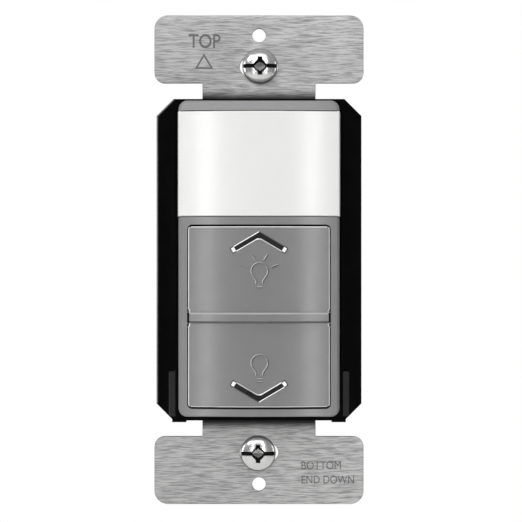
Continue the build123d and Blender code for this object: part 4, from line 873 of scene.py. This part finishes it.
def tapered_block(length, width, depth, taper=1.0):
    """A cutter from the top of the head down, for one arm pair of a recess, in millimetres."""
    shape = bmesh.new()
    bmesh.ops.create_cube(shape, size=1.0)
    middle = HEAD_HEIGHT + (CUTTER_RISE - depth) / 2
    bmesh.ops.scale(shape, vec=(length * MM, width * MM, (depth + CUTTER_RISE) * MM), verts=shape.verts)
    bmesh.ops.translate(shape, vec=(0, 0, middle * MM), verts=shape.verts)
    for vertex in shape.verts:
        if vertex.co.z < HEAD_HEIGHT * MM:
            vertex.co.x *= taper
            vertex.co.y *= taper
    return shape


def diamond_well(bottom_radius, top_radius, bottom, depth):
    """A four-sided cutter for the middle of a recess, with its corners on the arms."""
    shape = bmesh.new()
    bmesh.ops.create_cone(
        shape,
        cap_ends=True,
        segments=4,
        radius1=bottom_radius * MM,
        radius2=top_radius * MM,
        depth=depth * MM,
    )
    bmesh.ops.translate(shape, vec=(0, 0, (bottom + depth / 2) * MM), verts=shape.verts)
    return shape


def dome_height(level):
    """The height of the head, from 0 at the side of its dome to 1 on the axis."""
    return HEAD_HEIGHT * (DOME_FOOT + (1 - DOME_FOOT) * level)


def screw_profile():
    """Half section of the screw, whose head stands on height zero."""
    turns = [math.radians(angle) for angle in range(0, 91, DOME_STEP)]
    dome = [(HEAD_RADIUS * math.sin(turn), dome_height(math.cos(turn))) for turn in turns]
    return dome + [
        (HEAD_RADIUS, HEAD_CHAMFER),
        (HEAD_RADIUS - HEAD_CHAMFER, 0.0),
        (SHANK_RADIUS, 0.0),
        (SHANK_RADIUS, SHANK_POINT - SHANK_LENGTH),
        (SHANK_RADIUS - SHANK_POINT, -SHANK_LENGTH),
        (0.0, -SHANK_LENGTH),
    ]


def box_screw(name, x, z):
    """A wall-box screw on the front of the strap, cut, threaded and dressed."""
    slot = tapered_block(length=7.4, width=0.86, depth=0.95)
    upright = tapered_block(length=1.15, width=4.6, depth=1.35, taper=0.72)
    mouth = diamond_well(bottom_radius=1.25, top_radius=2.15, bottom=HEAD_HEIGHT - MOUTH_DEPTH, depth=1.6)
    pit = diamond_well(bottom_radius=0.25, top_radius=1.27, bottom=HEAD_HEIGHT - PIT_DEPTH, depth=0.72)
    shape = cut_by(spun(screw_profile()), [slot, upright, mouth, pit])
    add_thread(shape)
    placed = Matrix.Translation((x * MM, STRAP_FRONT, z * MM))
    bmesh.ops.transform(shape, matrix=placed @ UPRIGHT, verts=shape.verts)
    screw = finished_piece(
        shape, f"{name}_box_screw", f"{name}_screw", plated, "plated_screw", f"{name}_mount_screw"
    )

    def in_recess(place, facing):
        """The walls of the recess and the floors of its slot and upright arm."""
        across, up = abs(place.x - x), abs(place.z - z)
        around = math.hypot(across, up)
        rise = STRAP_FRONT / MM - place.y
        if rise < HEAD_FLANK or around > HEAD_RADIUS - HEAD_RIM:
            return False
        level = math.sqrt(1 - (around / HEAD_RADIUS) ** 2)
        on_floor = (across > ARM_START and up < SLOT_HALF) or up > ARM_START
        return dome_height(level) - rise > RECESS_START and (abs(facing.y) < WALL_FACING or on_floor)

    def on_rim(place, facing):
        """The outermost ring of the dome, painted darker for the strap that it mirrors."""
        around = math.hypot(place.x - x, place.z - z)
        return place.y < STRAP_FRONT / MM + HEAD_RIM and around > HEAD_RADIUS * RIM_SHARE

    tint_faces(screw, recess_shade, in_recess)
    tint_faces(screw, rim_mirror_shade, on_rim)
    # The domed head would throw bright streaks on the strap.
    screw.visible_diffuse = False
    screw.visible_glossy = False


for name, (x, z) in BOX_SCREWS.items():
    box_screw(name, x, z)
finished_piece(
    merged_copy("screw_retainers"), "fibre_washers", "base", fibre, "washer_fibre", "screw_retainers"
)

# Rear housing
# A deep black moulded box that sits in the wall box. Its latch arms come up through the
# cover, and its side pockets hold the wire terminals.
housing_black = finish(
    "housing_black", (0.009, 0.009, 0.0095), 0.46, specular=0.25, uneven=0.15, grain=2600.0, depth=0.006
)
finished_piece(
    merged_copy("rear_housing"), "housing_box", "base", housing_black, "housing_plastic", "rear_housing"
)

# Case screws
# Four long zinc-plated screws, sunk in the back of the housing, which draw it to the cover.
case_zinc = finish("case_zinc", (0.5, 0.5, 0.49), 0.34, metallic=1.0, uneven=0.1, scale=1400.0, depth=0.004)
finished_piece(
    merged_copy("housing_screws"), "case_screws", "base", case_zinc, "case_screw_steel", "housing_screws"
)

# Wire terminals
# Brass plates on the floors of the side pockets, each with a binding screw. Three screws are
# brass, and the one for the ground wire is green.
PLATE_EDGE = 0.08 * MM
brass = finish("terminal_brass", (0.62, 0.42, 0.16), 0.3, metallic=1.0, uneven=0.14, scale=800.0, depth=0.004)
green_coat = finish(
    "ground_green", (0.02, 0.2, 0.06), 0.35, metallic=0.4, uneven=0.15, scale=900.0, depth=0.004
)
finished_piece(
    bevelled(merged_copy("terminal_plates"), PLATE_EDGE),
    "brass_plates",
    "base",
    brass,
    "terminal_brass",
    "terminal_plates",
)
for name in ("line", "load", "neutral", "ground"):
    coat, slot = (green_coat, "ground_screw") if name == "ground" else (brass, "terminal_brass")
    node = f"{name}_terminal_screw"
    finished_piece(merged_copy(node), f"{name}_binding_screw", f"{name}_screw", coat, slot, node)

# Inside the housing
# Two boards with their parts, closed in by the cover and the housing. They keep the forms
# that the model gives them, each with its own finish.
# slot: nodes, colour, roughness and metallic share
INNER_FINISHES = {
    "board_laminate": (("control_board", "power_board"), (0.02, 0.13, 0.05), 0.4, 0.0),
    "sensor_can": (("pir_sensor",), (0.62, 0.6, 0.55), 0.28, 1.0),
    "clear_resin": (("light_sensor",), (0.25, 0.28, 0.32), 0.12, 0.0),
    "switch_plastic": (
        ("up_switch_body", "down_switch_body", "board_connector"),
        (0.03, 0.03, 0.03),
        0.45,
        0.0,
    ),
    "plunger_plastic": (("up_switch_plunger", "down_switch_plunger"), (0.55, 0.55, 0.52), 0.4, 0.0),
    "led_body": (("indicator_leds",), (0.8, 0.8, 0.72), 0.2, 0.0),
    "semiconductor_body": (("triac",), (0.03, 0.03, 0.033), 0.5, 0.0),
    "pad_silicone": (("triac_pad",), (0.4, 0.4, 0.42), 0.7, 0.0),
    "ferrite": (("choke_core",), (0.06, 0.06, 0.065), 0.6, 0.0),
    "copper_wire": (("choke_winding",), (0.55, 0.22, 0.08), 0.25, 1.0),
    "capacitor_box": (("film_capacitor",), (0.6, 0.42, 0.04), 0.35, 0.0),
    "capacitor_can": (("electrolytic_capacitor",), (0.03, 0.04, 0.1), 0.35, 0.0),
    "varistor_epoxy": (("varistor",), (0.03, 0.08, 0.35), 0.3, 0.0),
    "fuse_body": (("fuse",), (0.12, 0.08, 0.05), 0.5, 0.0),
    "coil_body": (("supply_coil",), (0.6, 0.5, 0.12), 0.4, 0.0),
}
for slot, (members, colour, roughness, metallic) in INNER_FINISHES.items():
    inner = finish(slot, colour, roughness, metallic=metallic, uneven=0.12, scale=600.0, depth=0.004)
    for member in members:
        nodes[member].data.materials.clear()
        nodes[member].data.materials.append(inner)

# Camera
# Straight in front of the face, a little right of and below its centre, through a long lens.
camera_data = bpy.data.cameras.new("camera")
camera_data.lens = 116.4
camera_data.sensor_width = 36.0
camera_data.clip_start = 0.01
camera_data.clip_end = 20.0
camera = bpy.data.objects.new("camera", camera_data)
camera.location = (0.00043, -0.3652, -0.00027)
camera.rotation_euler = (math.radians(90), 0.0, 0.0)
bpy.context.scene.collection.objects.link(camera)
bpy.context.scene.camera = camera

# Studio
# A pale floor below the hanging device and a soft pale surround. Two upright strips shine down
# the crown, and soft lights stand above, at the upper left, beside and behind. The one above
# isn't mirrored, because it would ring the screw heads with white.
FLOOR_HALF = 0.6
FLOOR_PLACE = (0.0, -0.2, -0.2)
# name, place, width and height in metres, watts, and whether shiny surfaces mirror it
LIGHTS = [
    ("left_strip", (-0.2315, -0.769, 0.12), (0.045, 0.7), 0.88),
    ("right_strip", (0.2315, -0.769, 0.12), (0.045, 0.7), 0.95),
    ("front_top", (0.0, -0.68, 0.5), (0.6, 0.36), 1.3),
    ("key", (-0.75, -0.9, 0.8), (0.35, 0.35), 4.2),
    ("overhead", (0.0, -0.14, 0.95), (0.8, 0.4), 6.0, False),
    ("left_side", (-0.95, -0.2, 0.1), (0.3, 0.6), 2.8),
    ("right_side", (0.95, -0.2, 0.1), (0.3, 0.6), 1.2),
    ("back", (0.3, 1.2, 0.5), (0.9, 0.9), 4.0),
]


def soft_light(name, place, size, power, mirrored=True):
    """A rectangle of light that looks at the middle of the object."""
    data = bpy.data.lights.new(name, "AREA")
    data.shape = "RECTANGLE"
    data.size, data.size_y = size
    data.energy = power
    lamp = bpy.data.objects.new(name, data)
    lamp.location = place
    lamp.rotation_euler = Vector(place).to_track_quat("Z", "Y").to_euler()
    lamp.visible_glossy = mirrored
    bpy.context.scene.collection.objects.link(lamp)


for light in LIGHTS:
    soft_light(*light)

floor_shape = bmesh.new()
bmesh.ops.create_grid(floor_shape, x_segments=1, y_segments=1, size=FLOOR_HALF)
bmesh.ops.translate(floor_shape, vec=FLOOR_PLACE, verts=floor_shape.verts)
floor_mesh = bpy.data.meshes.new("floor")
floor_shape.to_mesh(floor_mesh)
floor_shape.free()
floor_pale = finish("floor_pale", (0.82, 0.82, 0.81), 0.6, uneven=0.01, scale=8.0, grain=900.0, depth=0.01)
floor_mesh.materials.append(floor_pale)
floor = bpy.data.objects.new("floor", floor_mesh)
bpy.context.scene.collection.objects.link(floor)

# The surround lights the object more from above than from below, and shows white behind it.
world = bpy.data.worlds.new("surround")
bpy.context.scene.world = world
world.use_nodes = True
sky = world.node_tree
sky.nodes.clear()
seen = add_node(sky, "ShaderNodeBackground", {"Color": (1.0, 1.0, 1.0, 1.0), "Strength": 1.0})
soft = add_node(sky, "ShaderNodeBackground", {"Color": (1.0, 1.0, 1.0, 1.0)})
path = add_node(sky, "ShaderNodeLightPath")
choose = add_node(sky, "ShaderNodeMixShader")
direction = add_node(sky, "ShaderNodeTexCoord")
parts = add_node(sky, "ShaderNodeSeparateXYZ")
upward = ranged(sky, (-1.0, 1.0), (0.04, 0.24))
out = add_node(sky, "ShaderNodeOutputWorld")
sky.links.new(direction.outputs["Generated"], parts.inputs[0])
sky.links.new(parts.outputs["Z"], upward.inputs["Value"])
sky.links.new(upward.outputs[0], soft.inputs["Strength"])
sky.links.new(path.outputs["Is Camera Ray"], choose.inputs[0])
sky.links.new(soft.outputs[0], choose.inputs[1])
sky.links.new(seen.outputs[0], choose.inputs[2])
sky.links.new(choose.outputs[0], out.inputs[0])
bpy.context.scene.view_settings.view_transform = "Standard"
